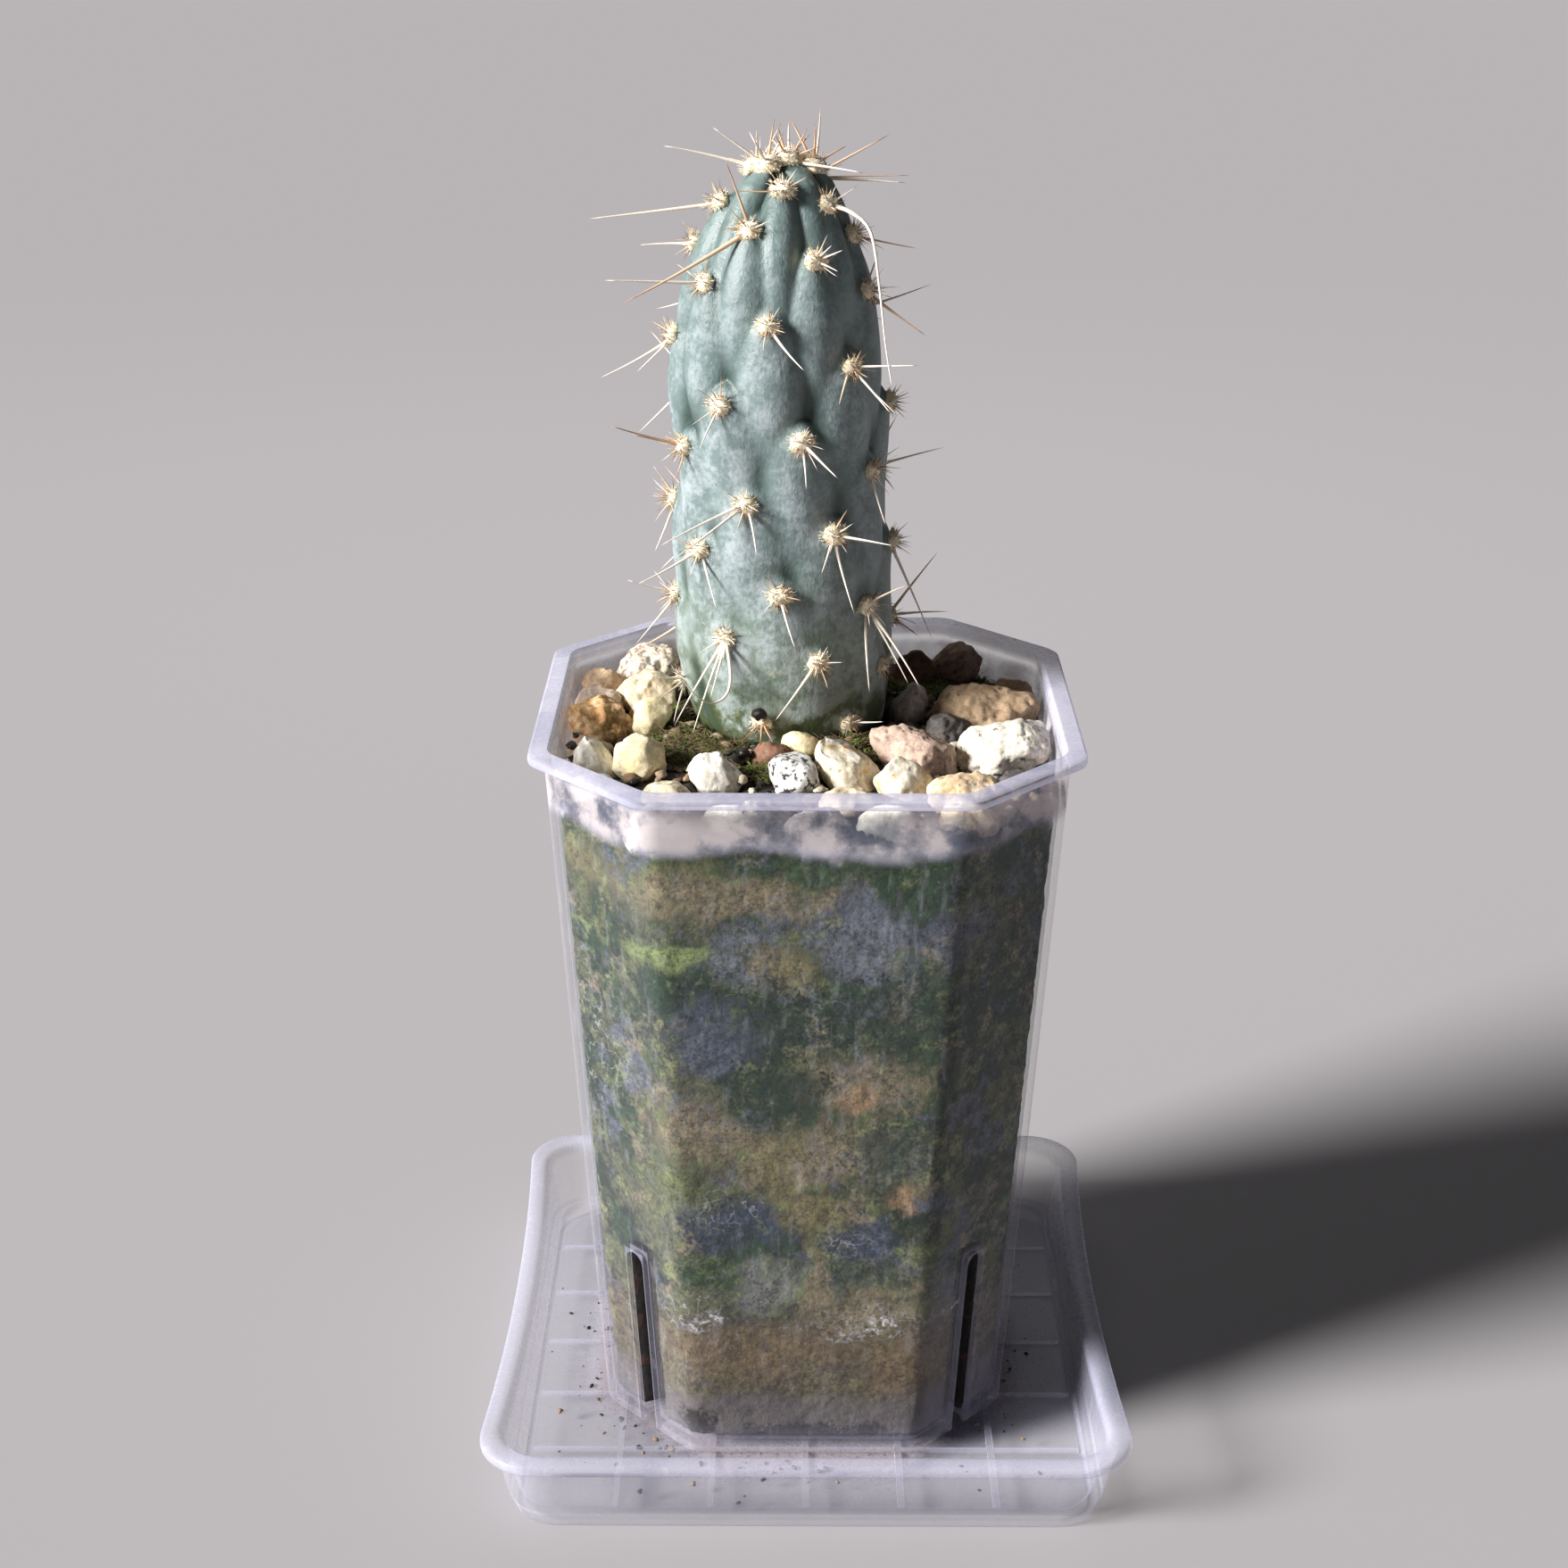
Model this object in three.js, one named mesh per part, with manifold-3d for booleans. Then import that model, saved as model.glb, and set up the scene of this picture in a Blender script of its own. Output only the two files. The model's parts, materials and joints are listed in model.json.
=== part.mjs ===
// A potted cactus, Miqueliopuntia miquelii, in a clear eight-sided pot on a clear square saucer.
// Millimetres, +Z up. The origin is the middle of the saucer's foot, on the surface it stands on.
// +X is to the right and +Y to the back, seen from the side with the taller spines.

import * as THREE from 'three';
import { mergeVertices } from 'three/addons/utils/BufferGeometryUtils.js';
import Module from 'manifold-3d';

// Clearance between pieces that touch
const GAP = 0.3;

// Saucer: a square moulded tray with a rolled lip and a grid of fine ribs on its floor
const SAUCER_HALF = 42.9;
const SAUCER_HEIGHT = 12.4;
const SAUCER_FOOT_HALF = 39;
const SAUCER_FLOOR_HALF = 37.6;
const SAUCER_FLOOR_TOP = 1.7;
const SAUCER_CORNER = 7.5;
const SAUCER_SIDE_BOW = 1.5;
const RIB_TOP = 2.3;
const RIB_STAGGER = 0.05;
const RIB_WIDTH = 0.9;
const RIB_PITCH = 12.65;

// Pot: a square with cut corners, wider at the top, with a flat rim and a slot in each cut corner
const POT_CENTRE = [-0.2, 0.8];
const POT_BASE = RIB_TOP + GAP;
const POT_TOP = 101.9;
const POT_BASE_HALF = 27.5;
const POT_NECK_HALF = 33;
const POT_BASE_CUT = 12.1;
const POT_NECK_CUT = 13.2;
const RIM_HALF = 35;
const RIM_CUT = 14.4;
const RIM_HEIGHT = 1.55;
const WALL = 0.9;
const POT_FLOOR_TOP = 4;
const POT_FLOOR_RAISE = 0.5;
const SLOT_WIDTH = 3.2;
const SLOT_TOP = 31.5;
const SLOT_REACH = 10;
const DRAIN_RADIUS = 4;

// Substrate: level near the walls, and banked up a little round the stem
const SOIL_LEVEL = 95.2;
const SOIL_BANK = 1.4;
const SOIL_BANK_REACH = 10;

// Stem: its axis, its outer radius by height, and how deep the furrows between tubercles are
const STEM_Y = 11.5;
const STEM_AXIS_X = [[76, -1.8], [97, -2.4], [106, -3.2], [126, -3.7], [145, -4.1], [160, -4.1], [170, -3.3]];
const STEM_RADIUS = [
  [76, 0], [78, 3.2], [83, 6.4], [89, 9.8], [94, 12.3], [97.2, 13.2], [101, 13.9], [106, 14.6],
  [116, 14.4], [121, 14.6], [128.5, 14], [138, 14.4], [143, 14.3], [147.5, 13.7], [152, 12.9],
  [156.5, 11.7], [161, 9.9], [165, 7.8], [167.6, 6.2], [169.2, 4.1], [170, 2], [170.3, 0],
];
const FURROW_DEPTH = [[88, 0], [97, 0.7], [115, 1.4], [138, 2], [150, 2.8], [163, 3], [168, 1.8], [170.3, 0.2]];
const STEM_SIDES = 36;
const STEM_STEP = 2.5;

// A tubercle's width and height, by how far above its areole a place is. Its widest part is below.
const PLEAT_WIDTH = [[-27, 0.05], [-22, 0.4], [-16, 0.8], [-10, 1], [-6, 1], [-3, 0.93], [0, 0.72], [3.6, 0.1]];
const PLEAT_HEIGHT = [[-27, -0.5], [-22, 0.15], [-15, 0.72], [-8, 0.97], [-3, 1], [0, 0.93], [3.6, -0.1]];

// Areoles: number 0 is at the shoulder, the numbers grow downward round the stem by the golden angle
const GOLDEN_ANGLE = 137.5;
const FIRST_TURN = 4.2;
const LAST_AREOLE = 48;
const CROWN_AREOLES = 6;
const CROWN_SPREAD = 0.95;
const CUSHION_RADIUS = 1.6;

// Where the areoles on the front stand off the rule: number, height, turn from the front in degrees
const FRONT_AREOLES = new Map([
  [0, [167.3, 0]], [2, [164.9, -86]], [3, [165.2, 51]], [5, [162.7, -25]], [6, [161.2, 78]],
  [7, [159.6, -92]], [8, [159.1, 27]], [10, [155.9, -52]], [11, [154.6, 68]], [13, [151.6, -5]],
  [15, [148.1, -86]], [16, [146, 43]], [18, [141.6, -31]], [19, [139.4, 88]], [21, [137.3, 12]],
  [23, [135.1, -60]], [24, [132.2, 58]], [26, [129.1, -18]], [28, [126.4, -89]], [29, [124.8, 29]],
  [31, [122.2, -47]], [32, [120.8, 87]], [34, [117.3, -1]], [36, [113.9, -80]], [37, [114.4, 50]],
  [39, [111, -31]], [42, [108.1, 18]], [44, [101.6, -82]], [45, [105.3, 63]], [47, [99.6, -15]],
]);

// Long spines, as areole number and the tip's place from that areole in mm
const SPINE_RADIUS = 0.28;
const LONG_SPINES = [
  [2, [-16.6, -1, -2]], [5, [-15.6, -5, -8.2]], [5, [-2.9, -2, 8.9]], [6, [8.2, 1, -2]], [7, [-7.1, 0, -0.3]],
  [8, [3.3, -3, 1.9]], [10, [-12.2, -4, 1.1]], [11, [7.5, -2, -5.4]], [13, [4.6, -6, -4.3]],
  [15, [-9.5, -1, -5.4]], [15, [-4.8, -1.5, -4.6]], [16, [8.2, -3, 0.9]], [16, [-1.7, -4, -4]],
  [16, [5.9, -4, -5.4]], [18, [-2.5, -4, -4.8]], [21, [4.5, -6, -3.1]], [21, [0.5, -5, -4.8]],
  [23, [-9.1, -4, 3.6]], [24, [1.8, -4, -6.5]], [26, [-8.7, -6, -5.2]], [26, [-10.7, -5, -4]],
  [26, [1.4, -5, -5.5]], [28, [-2.7, -1, 4.5]], [28, [-2.8, -1, -7.4]], [29, [-1.7, -4, -3.9]],
  [29, [2.6, -5, -9.1]], [29, [7.6, -4, -0.2]], [31, [-7.8, -4, -3.5]], [31, [2.4, -5, -6.8]],
  [32, [5.8, -1, -13.7]], [34, [2, -5, -5.5]], [36, [-6.3, -2, 2.4]], [36, [-5.3, -3, -6.2]],
  [37, [0.4, -5, -10.5]], [37, [7.2, -4, -10.4]], [37, [5.2, -3, 3.8]], [39, [-5.4, -6, -8]],
  [39, [-1.9, -6, -6.4]], [42, [-5.6, -5.4, -6]], [1, [12, -2, -0.5]], [-2, [3.9, -4, -2.1]],
  [-1, [-11.9, -1, 2.7]], [-3, [-6.8, -1, 4.7]], [-3, [0.9, 0, 5.7]], [-4, [-0.9, -1, 3.1]], [-5, [2.3, 0, 3.9]],
];
// The one spine that arches out of areole 3 and hangs down beside the stem
const ARCHING_SPINE = [[2.8, -1.6, -0.6], [5.3, -3, -2.9], [6.4, -5, -9.2], [7.2, -6.5, -16], [8.1, -8, -21.4]];

// Dressing stones: name, middle x y z, half width, half depth, half height, turn in degrees, colour
const STONES = [
  ['stone_speckled_back', -23, 24, 97.6, 4.4, 3.8, 3.4, 10, 0xd8cdbd],
  ['stone_tan_back', -27.8, 19.2, 97, 3.6, 3, 2.4, 35, 0xb08a62],
  ['stone_pink_left', -28.6, 13, 96.6, 3.4, 3, 2.4, -20, 0xd9b9a0],
  ['stone_amber_left', -28.2, 4.6, 97, 4.2, 4, 3.2, 15, 0xa8713c],
  ['stone_cream_top', -22.4, 14.6, 97.8, 4.2, 3.6, 2.9, -25, 0xe3d0b0],
  ['stone_cream_mid', -21.8, 5.6, 97.4, 3, 3.6, 2.8, 60, 0xdfcba6],
  ['stone_white_wedge', -27.4, -8, 97, 2.7, 3.4, 2.8, -30, 0xe9e4dc],
  ['stone_cream_oval', -21.8, -9.2, 97.3, 3.3, 3.4, 4, 0, 0xe2d3ac],
  ['stone_white_front', -11.8, -13.8, 96.7, 3.3, 3.2, 2.7, 40, 0xe6e0d2],
  ['stone_red_front', -5, -6.2, 96.6, 2.6, 2.2, 1.8, 0, 0x8a5340],
  ['stone_cream_small', -1, -4.2, 97.2, 2.5, 2.1, 2, 0, 0xe2c99a],
  ['stone_speckled_front', -2, -14.2, 97.1, 2.9, 2.7, 2.7, 0, 0xc9c5bd],
  ['stone_white_yellow', 5.2, -12, 98.2, 4.4, 4.1, 4.2, 50, 0xece2cb],
  ['stone_banded_brown', 14, -7.6, 97.4, 5.8, 4, 3.6, -28, 0xa68872],
  ['stone_orange_cream', 12.2, -15, 96.9, 3.9, 3.2, 3, -15, 0xdfb98a],
  ['stone_flat_front', 19.4, -17.4, 96.2, 4.6, 2.6, 2, 8, 0xd9a877],
  ['stone_grey_tall', 13.6, 9.4, 97.6, 2.3, 2.7, 3.6, 20, 0xb8b1ab],
  ['stone_dark_grey', 18.4, 3.6, 96.2, 2.7, 2.8, 2.7, 0, 0x4c4844],
  ['stone_big_tan', 24, 9, 97.2, 7.2, 4.4, 4.2, -8, 0xb99472],
  ['stone_big_white', 25.4, -6, 97.6, 5.8, 5.4, 4.8, 25, 0xe4ddcf],
  ['stone_dark_edge', 26.6, -15.4, 96, 3.4, 2.4, 2.2, 15, 0x3f3c3a],
  ['stone_brown_back', 20.8, 27.4, 97.3, 3.8, 3.2, 3.1, -10, 0x6e5748],
  ['stone_olive_back', 15, 25.4, 97, 3.1, 2.8, 3.3, 30, 0x6a4a34],
  ['stone_back_left', -13.6, 28, 96.6, 3.7, 2.9, 2.7, -12, 0xcbb79a],
  ['stone_back_middle', -4.6, 29.4, 96.4, 3.9, 2.3, 2.5, 5, 0xd8cfbf],
  ['stone_back_pale', 5.6, 29, 96.5, 3.5, 2.6, 2.6, 20, 0xe0d6c2],
  ['stone_left_behind', -28.6, -1.8, 95.4, 2.8, 2.4, 2, 0, 0x8d6a4b],
  ['stone_wall_left', -27.6, -16.6, 95.4, 2.6, 3, 2.5, 40, 0xd9d2c6],
  ['stone_wall_front_a', -18.6, -26.4, 95, 4, 3.3, 3, 10, 0xe6e1d8],
  ['stone_wall_front_b', -17.6, -18.4, 95.2, 3.6, 2.9, 2.6, -35, 0xcfb48f],
  ['stone_wall_front_c', -9, -25.6, 95.1, 4.2, 3.4, 2.8, -12, 0xe9e3da],
  ['stone_wall_front_d', 0.6, -26.6, 94.9, 3.9, 3, 2.9, 30, 0xb9b6b4],
  ['stone_wall_front_e', 5, -20, 95.4, 3.6, 2.6, 2.4, 5, 0xd9cdb8],
  ['stone_wall_front_f', 10.4, -27, 95, 4.3, 3, 2.9, -8, 0xe0d8ca],
  ['stone_wall_front_g', 19.6, -24.8, 95.2, 3.8, 3.2, 2.7, 35, 0xc7b79e],
  ['stone_right_back', 28.2, 18.6, 96, 2.9, 3, 2.5, 50, 0xbba78b],
];
const STONE_FACETS = 9;
const STONE_FULLNESS = 1.1;
const BIG_STONE = 5;

// A number that repeats for the same seed, from 0 to 1
function drawFrom(seed) {
  let state = seed * 2654435761 >>> 0;
  return () => {
    state = (state + 0x6d2b79f5) >>> 0;
    let value = Math.imul(state ^ (state >>> 15), state | 1);
    value ^= value + Math.imul(value ^ (value >>> 7), value | 61);
    return ((value ^ (value >>> 14)) >>> 0) / 4294967296;
  };
}

// The value at x on a line through points [x, value]
function along(points, x) {
  if (x <= points[0][0]) return points[0][1];
  for (let i = 1; i < points.length; i += 1) {
    const [x0, v0] = points[i - 1];
    const [x1, v1] = points[i];
    if (x <= x1) return v0 + (v1 - v0) * (x - x0) / (x1 - x0);
  }
  return points[points.length - 1][1];
}

// A closed skin over rings of equal length, each end closed to a middle point
function loft(rings, firstMiddle, lastMiddle) {
  const sides = rings[0].length;
  const points = rings.flat().concat([firstMiddle, lastMiddle]);
  const first = rings.length * sides;
  const last = first + 1;
  const faces = [];
  for (let side = 0; side < sides; side += 1) {
    const next = (side + 1) % sides;
    faces.push(first, next, side);
    for (let ring = 0; ring + 1 < rings.length; ring += 1) {
      const low = ring * sides;
      const high = low + sides;
      faces.push(low + side, low + next, high + next, low + side, high + next, high + side);
    }
    faces.push(last, last - 1 - sides + side, last - 1 - sides + next);
  }
  const geometry = new THREE.BufferGeometry();
  geometry.setAttribute('position', new THREE.Float32BufferAttribute(points.flat(), 3));
  geometry.setIndex(faces);
  return geometry;
}

const wasm = await Module();
wasm.setup();

// Joins and cuts are made on solids, and the result goes back to a geometry
function solidOf(geometry) {
  const bare = geometry.clone();
  bare.deleteAttribute('normal');
  bare.deleteAttribute('uv');
  const merged = mergeVertices(bare, 1e-5);
  return new wasm.Manifold(new wasm.Mesh({
    numProp: 3,
    vertProperties: new Float32Array(merged.attributes.position.array),
    triVerts: new Uint32Array(merged.index.array),
  }));
}

function geometryOf(solid) {
  const mesh = solid.getMesh();
  const geometry = new THREE.BufferGeometry();
  geometry.setAttribute('position', new THREE.BufferAttribute(new Float32Array(mesh.vertProperties), 3));
  geometry.setIndex(new THREE.BufferAttribute(new Uint32Array(mesh.triVerts), 1));
  geometry.computeVertexNormals();
  return geometry;
}

const part = new THREE.Group();

function addPiece(name, geometry, color, roughness, extra = {}) {
  const material = new THREE.MeshStandardMaterial({ color, roughness, metalness: 0, ...extra });
  const mesh = new THREE.Mesh(geometry, material);
  mesh.name = name;
  part.add(mesh);
}

// Saucer. One level of it is a square with round corners whose left and right sides bow inward.
function saucerLevel(half, height, corner = SAUCER_CORNER) {
  const cornerSteps = 3;
  const sideSteps = 2;
  const bow = SAUCER_SIDE_BOW * (height / SAUCER_HEIGHT) ** 2;
  const points = [];
  for (let side = 0; side < 4; side += 1) {
    const facing = side * Math.PI / 2;
    const straight = half - corner;
    for (let step = 0; step <= sideSteps; step += 1) {
      const run = -straight + 2 * straight * step / sideSteps;
      const isLeftOrRight = side % 2 === 0;
      const inward = isLeftOrRight ? bow * (1 - (run / straight) ** 2) : 0;
      points.push(turned(half - inward, run, facing, height));
    }
    for (let step = 1; step < cornerSteps; step += 1) {
      const angle = Math.PI / 2 * step / cornerSteps;
      const out = straight + corner * Math.cos(angle);
      const run = straight + corner * Math.sin(angle);
      points.push(turned(out, run, facing, height));
    }
  }
  return points;
}

function turned(out, run, facing, height) {
  const x = out * Math.cos(facing) - run * Math.sin(facing);
  const y = out * Math.sin(facing) + run * Math.cos(facing);
  return [x, y, height];
}

function makeSaucer() {
  const underside = 0.4;
  const footWidth = 1.3;
  const levels = [
    saucerLevel(SAUCER_FOOT_HALF - footWidth, underside, 5.2),
    saucerLevel(SAUCER_FOOT_HALF - footWidth, 0, 5.2),
    saucerLevel(SAUCER_FOOT_HALF, 0, 6),
    saucerLevel(SAUCER_FOOT_HALF + 0.1, 1.5, 6),
    saucerLevel(SAUCER_FOOT_HALF + 0.7, 2.2, 6.2),
    saucerLevel(SAUCER_FOOT_HALF + 1.4, 6, 6.6),
    saucerLevel(SAUCER_FOOT_HALF + 2.1, 10.6, 7),
    saucerLevel(SAUCER_HALF - 0.3, 10.6),
    saucerLevel(SAUCER_HALF, 11.2),
    saucerLevel(SAUCER_HALF - 0.2, 12.1),
    saucerLevel(SAUCER_HALF - 0.8, SAUCER_HEIGHT),
    saucerLevel(SAUCER_HALF - 2.6, SAUCER_HEIGHT, 6),
    saucerLevel(SAUCER_FOOT_HALF + 0.8, 11.4, 5.6),
    saucerLevel(SAUCER_FLOOR_HALF + 0.9, 3.2, 5),
    saucerLevel(SAUCER_FLOOR_HALF, SAUCER_FLOOR_TOP, 4.6),
  ];
  let tray = solidOf(loft(levels, [0, 0, underside], [0, 0, SAUCER_FLOOR_TOP]));
  const ribLength = 2 * SAUCER_FLOOR_HALF - 1;
  const ribRoot = 0.5;
  const ribHeight = RIB_TOP - SAUCER_FLOOR_TOP + ribRoot;
  for (let line = -2; line <= 2; line += 1) {
    for (const alongX of [true, false]) {
      const size = alongX ? [ribLength, RIB_WIDTH] : [RIB_WIDTH, ribLength];
      const bar = new THREE.BoxGeometry(...size, ribHeight);
      const shift = line * RIB_PITCH;
      const middle = RIB_TOP - ribHeight / 2 - (alongX ? 0 : RIB_STAGGER);
      bar.translate(alongX ? 0 : shift, alongX ? shift : 0, middle);
      tray = tray.add(solidOf(bar));
    }
  }
  return geometryOf(tray);
}

// Pot. One level is a square with cut corners, each of its eight edges softened by two points.
function potLevel(half, cut, height) {
  const soften = 0.7;
  const corners = [
    [half, -half + cut], [half, half - cut], [half - cut, half], [-half + cut, half],
    [-half, half - cut], [-half, -half + cut], [-half + cut, -half], [half - cut, -half],
  ];
  const points = [];
  corners.forEach((corner, i) => {
    const before = corners[(i + 7) % 8];
    const after = corners[(i + 1) % 8];
    for (const other of [before, after]) {
      const length = Math.hypot(other[0] - corner[0], other[1] - corner[1]);
      const share = soften / length;
      const x = corner[0] + (other[0] - corner[0]) * share + POT_CENTRE[0];
      const y = corner[1] + (other[1] - corner[1]) * share + POT_CENTRE[1];
      points.push([x, y, height]);
    }
  });
  return points;
}

// The pot's outer size at a height, pulled in evenly by an inset
function potSize(height, inset = 0) {
  const share = (height - POT_BASE) / (POT_TOP - RIM_HEIGHT - POT_BASE);
  const half = POT_BASE_HALF + (POT_NECK_HALF - POT_BASE_HALF) * share - inset;
  const cut = POT_BASE_CUT + (POT_NECK_CUT - POT_BASE_CUT) * share - inset * (2 - Math.SQRT2);
  return [half, cut];
}

function makePot() {
  const underFloor = POT_BASE + POT_FLOOR_RAISE;
  const neck = POT_TOP - RIM_HEIGHT;
  const levels = [
    potLevel(...potSize(underFloor, WALL), underFloor),
    potLevel(...potSize(POT_BASE, WALL), POT_BASE),
    potLevel(...potSize(POT_BASE), POT_BASE),
    potLevel(...potSize(neck), neck),
    potLevel(RIM_HALF - 0.1, RIM_CUT, neck),
    potLevel(RIM_HALF, RIM_CUT, neck + 0.4),
    potLevel(RIM_HALF, RIM_CUT, POT_TOP - 0.4),
    potLevel(RIM_HALF - 0.35, RIM_CUT - 0.2, POT_TOP),
    potLevel(...potSize(neck, WALL), POT_TOP),
    potLevel(...potSize(POT_FLOOR_TOP, WALL), POT_FLOOR_TOP),
  ];
  const [x, y] = POT_CENTRE;
  let pot = solidOf(loft(levels, [x, y, underFloor], [x, y, POT_FLOOR_TOP]));

  // Each slot opens a cut corner from the bottom edge upward and runs in under the soil
  const outline = new THREE.Shape();
  outline.moveTo(-SLOT_WIDTH / 2, 0);
  outline.lineTo(SLOT_WIDTH / 2, 0);
  outline.lineTo(SLOT_WIDTH / 2, SLOT_TOP - SLOT_WIDTH / 2);
  outline.absarc(0, SLOT_TOP - SLOT_WIDTH / 2, SLOT_WIDTH / 2, 0, Math.PI, false);
  outline.closePath();
  const [half, cut] = potSize(SLOT_TOP);
  const cornerOut = (2 * half - cut) / Math.SQRT2;
  for (let corner = 0; corner < 4; corner += 1) {
    const cutter = new THREE.ExtrudeGeometry(outline, {
      depth: SLOT_REACH + 3, bevelEnabled: false, curveSegments: 6,
    });
    cutter.rotateX(Math.PI / 2);
    cutter.rotateZ(Math.PI / 2);
    cutter.translate(cornerOut - SLOT_REACH, 0, 0);
    cutter.rotateZ(Math.PI / 4 + corner * Math.PI / 2);
    cutter.translate(x, y, 0);
    pot = pot.subtract(solidOf(cutter));
  }
  const drain = new THREE.CylinderGeometry(DRAIN_RADIUS, DRAIN_RADIUS, 4, 16);
  drain.rotateX(Math.PI / 2);
  drain.translate(x, y, underFloor);
  pot = pot.subtract(solidOf(drain));
  return pot;
}

// The room inside the pot, clear of its wall and floor
function potRoom(top) {
  const floor = POT_FLOOR_TOP + GAP;
  const levels = [
    potLevel(...potSize(floor, WALL + GAP), floor),
    potLevel(...potSize(top, WALL + GAP), top),
  ];
  const [x, y] = POT_CENTRE;
  return solidOf(loft(levels, [x, y, floor], [x, y, top]));
}

// The stem's turn is counted from the front, towards +X
function stemPoint(radius, turn, height) {
  const x = along(STEM_AXIS_X, height) + radius * Math.sin(turn);
  return [x, STEM_Y - radius * Math.cos(turn), height];
}

function areole(number) {
  let turn = FIRST_TURN + GOLDEN_ANGLE * number;
  let height = 168.4 - 1.12 * number - 0.02 * number ** 2 + 0.00027 * number ** 3;
  if (number < 0) height = crownHeight(CROWN_SPREAD * (number + CROWN_AREOLES));
  if (FRONT_AREOLES.has(number)) [height, turn] = FRONT_AREOLES.get(number);
  return { number, height, turn: THREE.MathUtils.degToRad(turn) };
}

// The height on the crown where the stem has a radius
function crownHeight(radius) {
  const crown = STEM_RADIUS.filter(([height]) => height >= 165).map(([height, r]) => [-r, height]);
  return along(crown, -radius);
}

const areoles = [];
for (let number = 1 - CROWN_AREOLES; number <= LAST_AREOLE; number += 1) areoles.push(areole(number));

// Each areole stands at the top of a long low tubercle that runs down from it. Between tubercles
// the skin dips into furrows, from 0 in the furrow to 1 on the tubercle's back.
function tubercle(turn, height) {
  const sharpness = 6;
  const radius = along(STEM_RADIUS, height);
  const halfWidth = Math.min(6, 1 + radius * 0.36);
  const shrink = THREE.MathUtils.clamp(0.5 + 0.5 * (radius - 4) / 9, 0.4, 1);
  const lowest = PLEAT_WIDTH[0][0];
  const highest = PLEAT_WIDTH[PLEAT_WIDTH.length - 1][0];
  let sum = 0;
  for (const spot of areoles) {
    const rise = (height - spot.height) / shrink;
    if (rise < lowest || rise > highest) continue;
    let swing = (turn - spot.turn) / (2 * Math.PI);
    swing = (swing - Math.round(swing)) * 2 * Math.PI;
    const across = swing * radius / (halfWidth * along(PLEAT_WIDTH, rise));
    sum += Math.max(0, along(PLEAT_HEIGHT, rise) - 0.75 * across ** 2) ** sharpness;
  }
  return Math.min(1, sum ** (1 / sharpness));
}

function skinRadius(turn, height) {
  return along(STEM_RADIUS, height) - along(FURROW_DEPTH, height) * (1 - tubercle(turn, height));
}

function makeStem() {
  const bottom = STEM_RADIUS[0][0];
  const top = STEM_RADIUS[STEM_RADIUS.length - 1][0];
  const inside = STEM_RADIUS.slice(1, -1).map(([height]) => height);
  const heights = inside.filter((height) => height < 97 || height > 166);
  for (let height = 97; height < 166; height += STEM_STEP) heights.push(height);
  heights.sort((a, b) => a - b);
  const rings = heights.map((height) => {
    const ring = [];
    for (let side = 0; side < STEM_SIDES; side += 1) {
      const turn = 2 * Math.PI * side / STEM_SIDES;
      ring.push(stemPoint(skinRadius(turn, height), turn, height));
    }
    return ring;
  });
  return solidOf(loft(rings, stemPoint(0, 0, bottom), stemPoint(0, 0, top)));
}

// The way out of the skin at an areole
function outward(spot) {
  const step = 0.8;
  const low = along(STEM_RADIUS, spot.height - step);
  const high = along(STEM_RADIUS, spot.height + step);
  const up = Math.min(6, (low - high) / (2 * step));
  return new THREE.Vector3(Math.sin(spot.turn), -Math.cos(spot.turn), up).normalize();
}

function areolePlace(spot) {
  return new THREE.Vector3(...stemPoint(skinRadius(spot.turn, spot.height), spot.turn, spot.height));
}

// A cushion of wool on each areole, half sunk in the skin
function makeCushion(spot) {
  const size = CUSHION_RADIUS * (spot.number < 0 ? 0.8 : 1);
  const cushion = new THREE.SphereGeometry(size, 6, 4);
  cushion.rotateX(Math.PI / 2);
  cushion.scale(1, 1, 0.75);
  const stand = new THREE.Quaternion().setFromUnitVectors(new THREE.Vector3(0, 0, 1), outward(spot));
  cushion.applyQuaternion(stand);
  const place = areolePlace(spot);
  cushion.translate(place.x, place.y, place.z);
  return solidOf(cushion);
}

// A three-sided spine that narrows to its tip along a line of points
function makeSpine(points, radius) {
  const sides = 3;
  const rings = [];
  points.slice(0, -1).forEach((point, i) => {
    const ahead = points[i + 1].clone().sub(point).normalize();
    const side = new THREE.Vector3(0, 0, 1).cross(ahead);
    if (side.length() < 0.1) side.set(1, 0, 0);
    side.normalize();
    const over = ahead.clone().cross(side);
    const size = radius * (1 - 0.75 * i / (points.length - 1));
    const ring = [];
    for (let corner = 0; corner < sides; corner += 1) {
      const angle = 2 * Math.PI * corner / sides;
      const offset = side.clone().multiplyScalar(size * Math.cos(angle));
      offset.addScaledVector(over, size * Math.sin(angle));
      ring.push(point.clone().add(offset).toArray());
    }
    rings.push(ring);
  });
  const tip = points[points.length - 1];
  return solidOf(loft(rings, points[0].toArray(), tip.toArray()));
}

function spineTo(spot, offset) {
  const root = areolePlace(spot).addScaledVector(outward(spot), -0.5);
  const tip = areolePlace(spot).add(new THREE.Vector3(...offset));
  return makeSpine([root, tip], SPINE_RADIUS);
}

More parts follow.
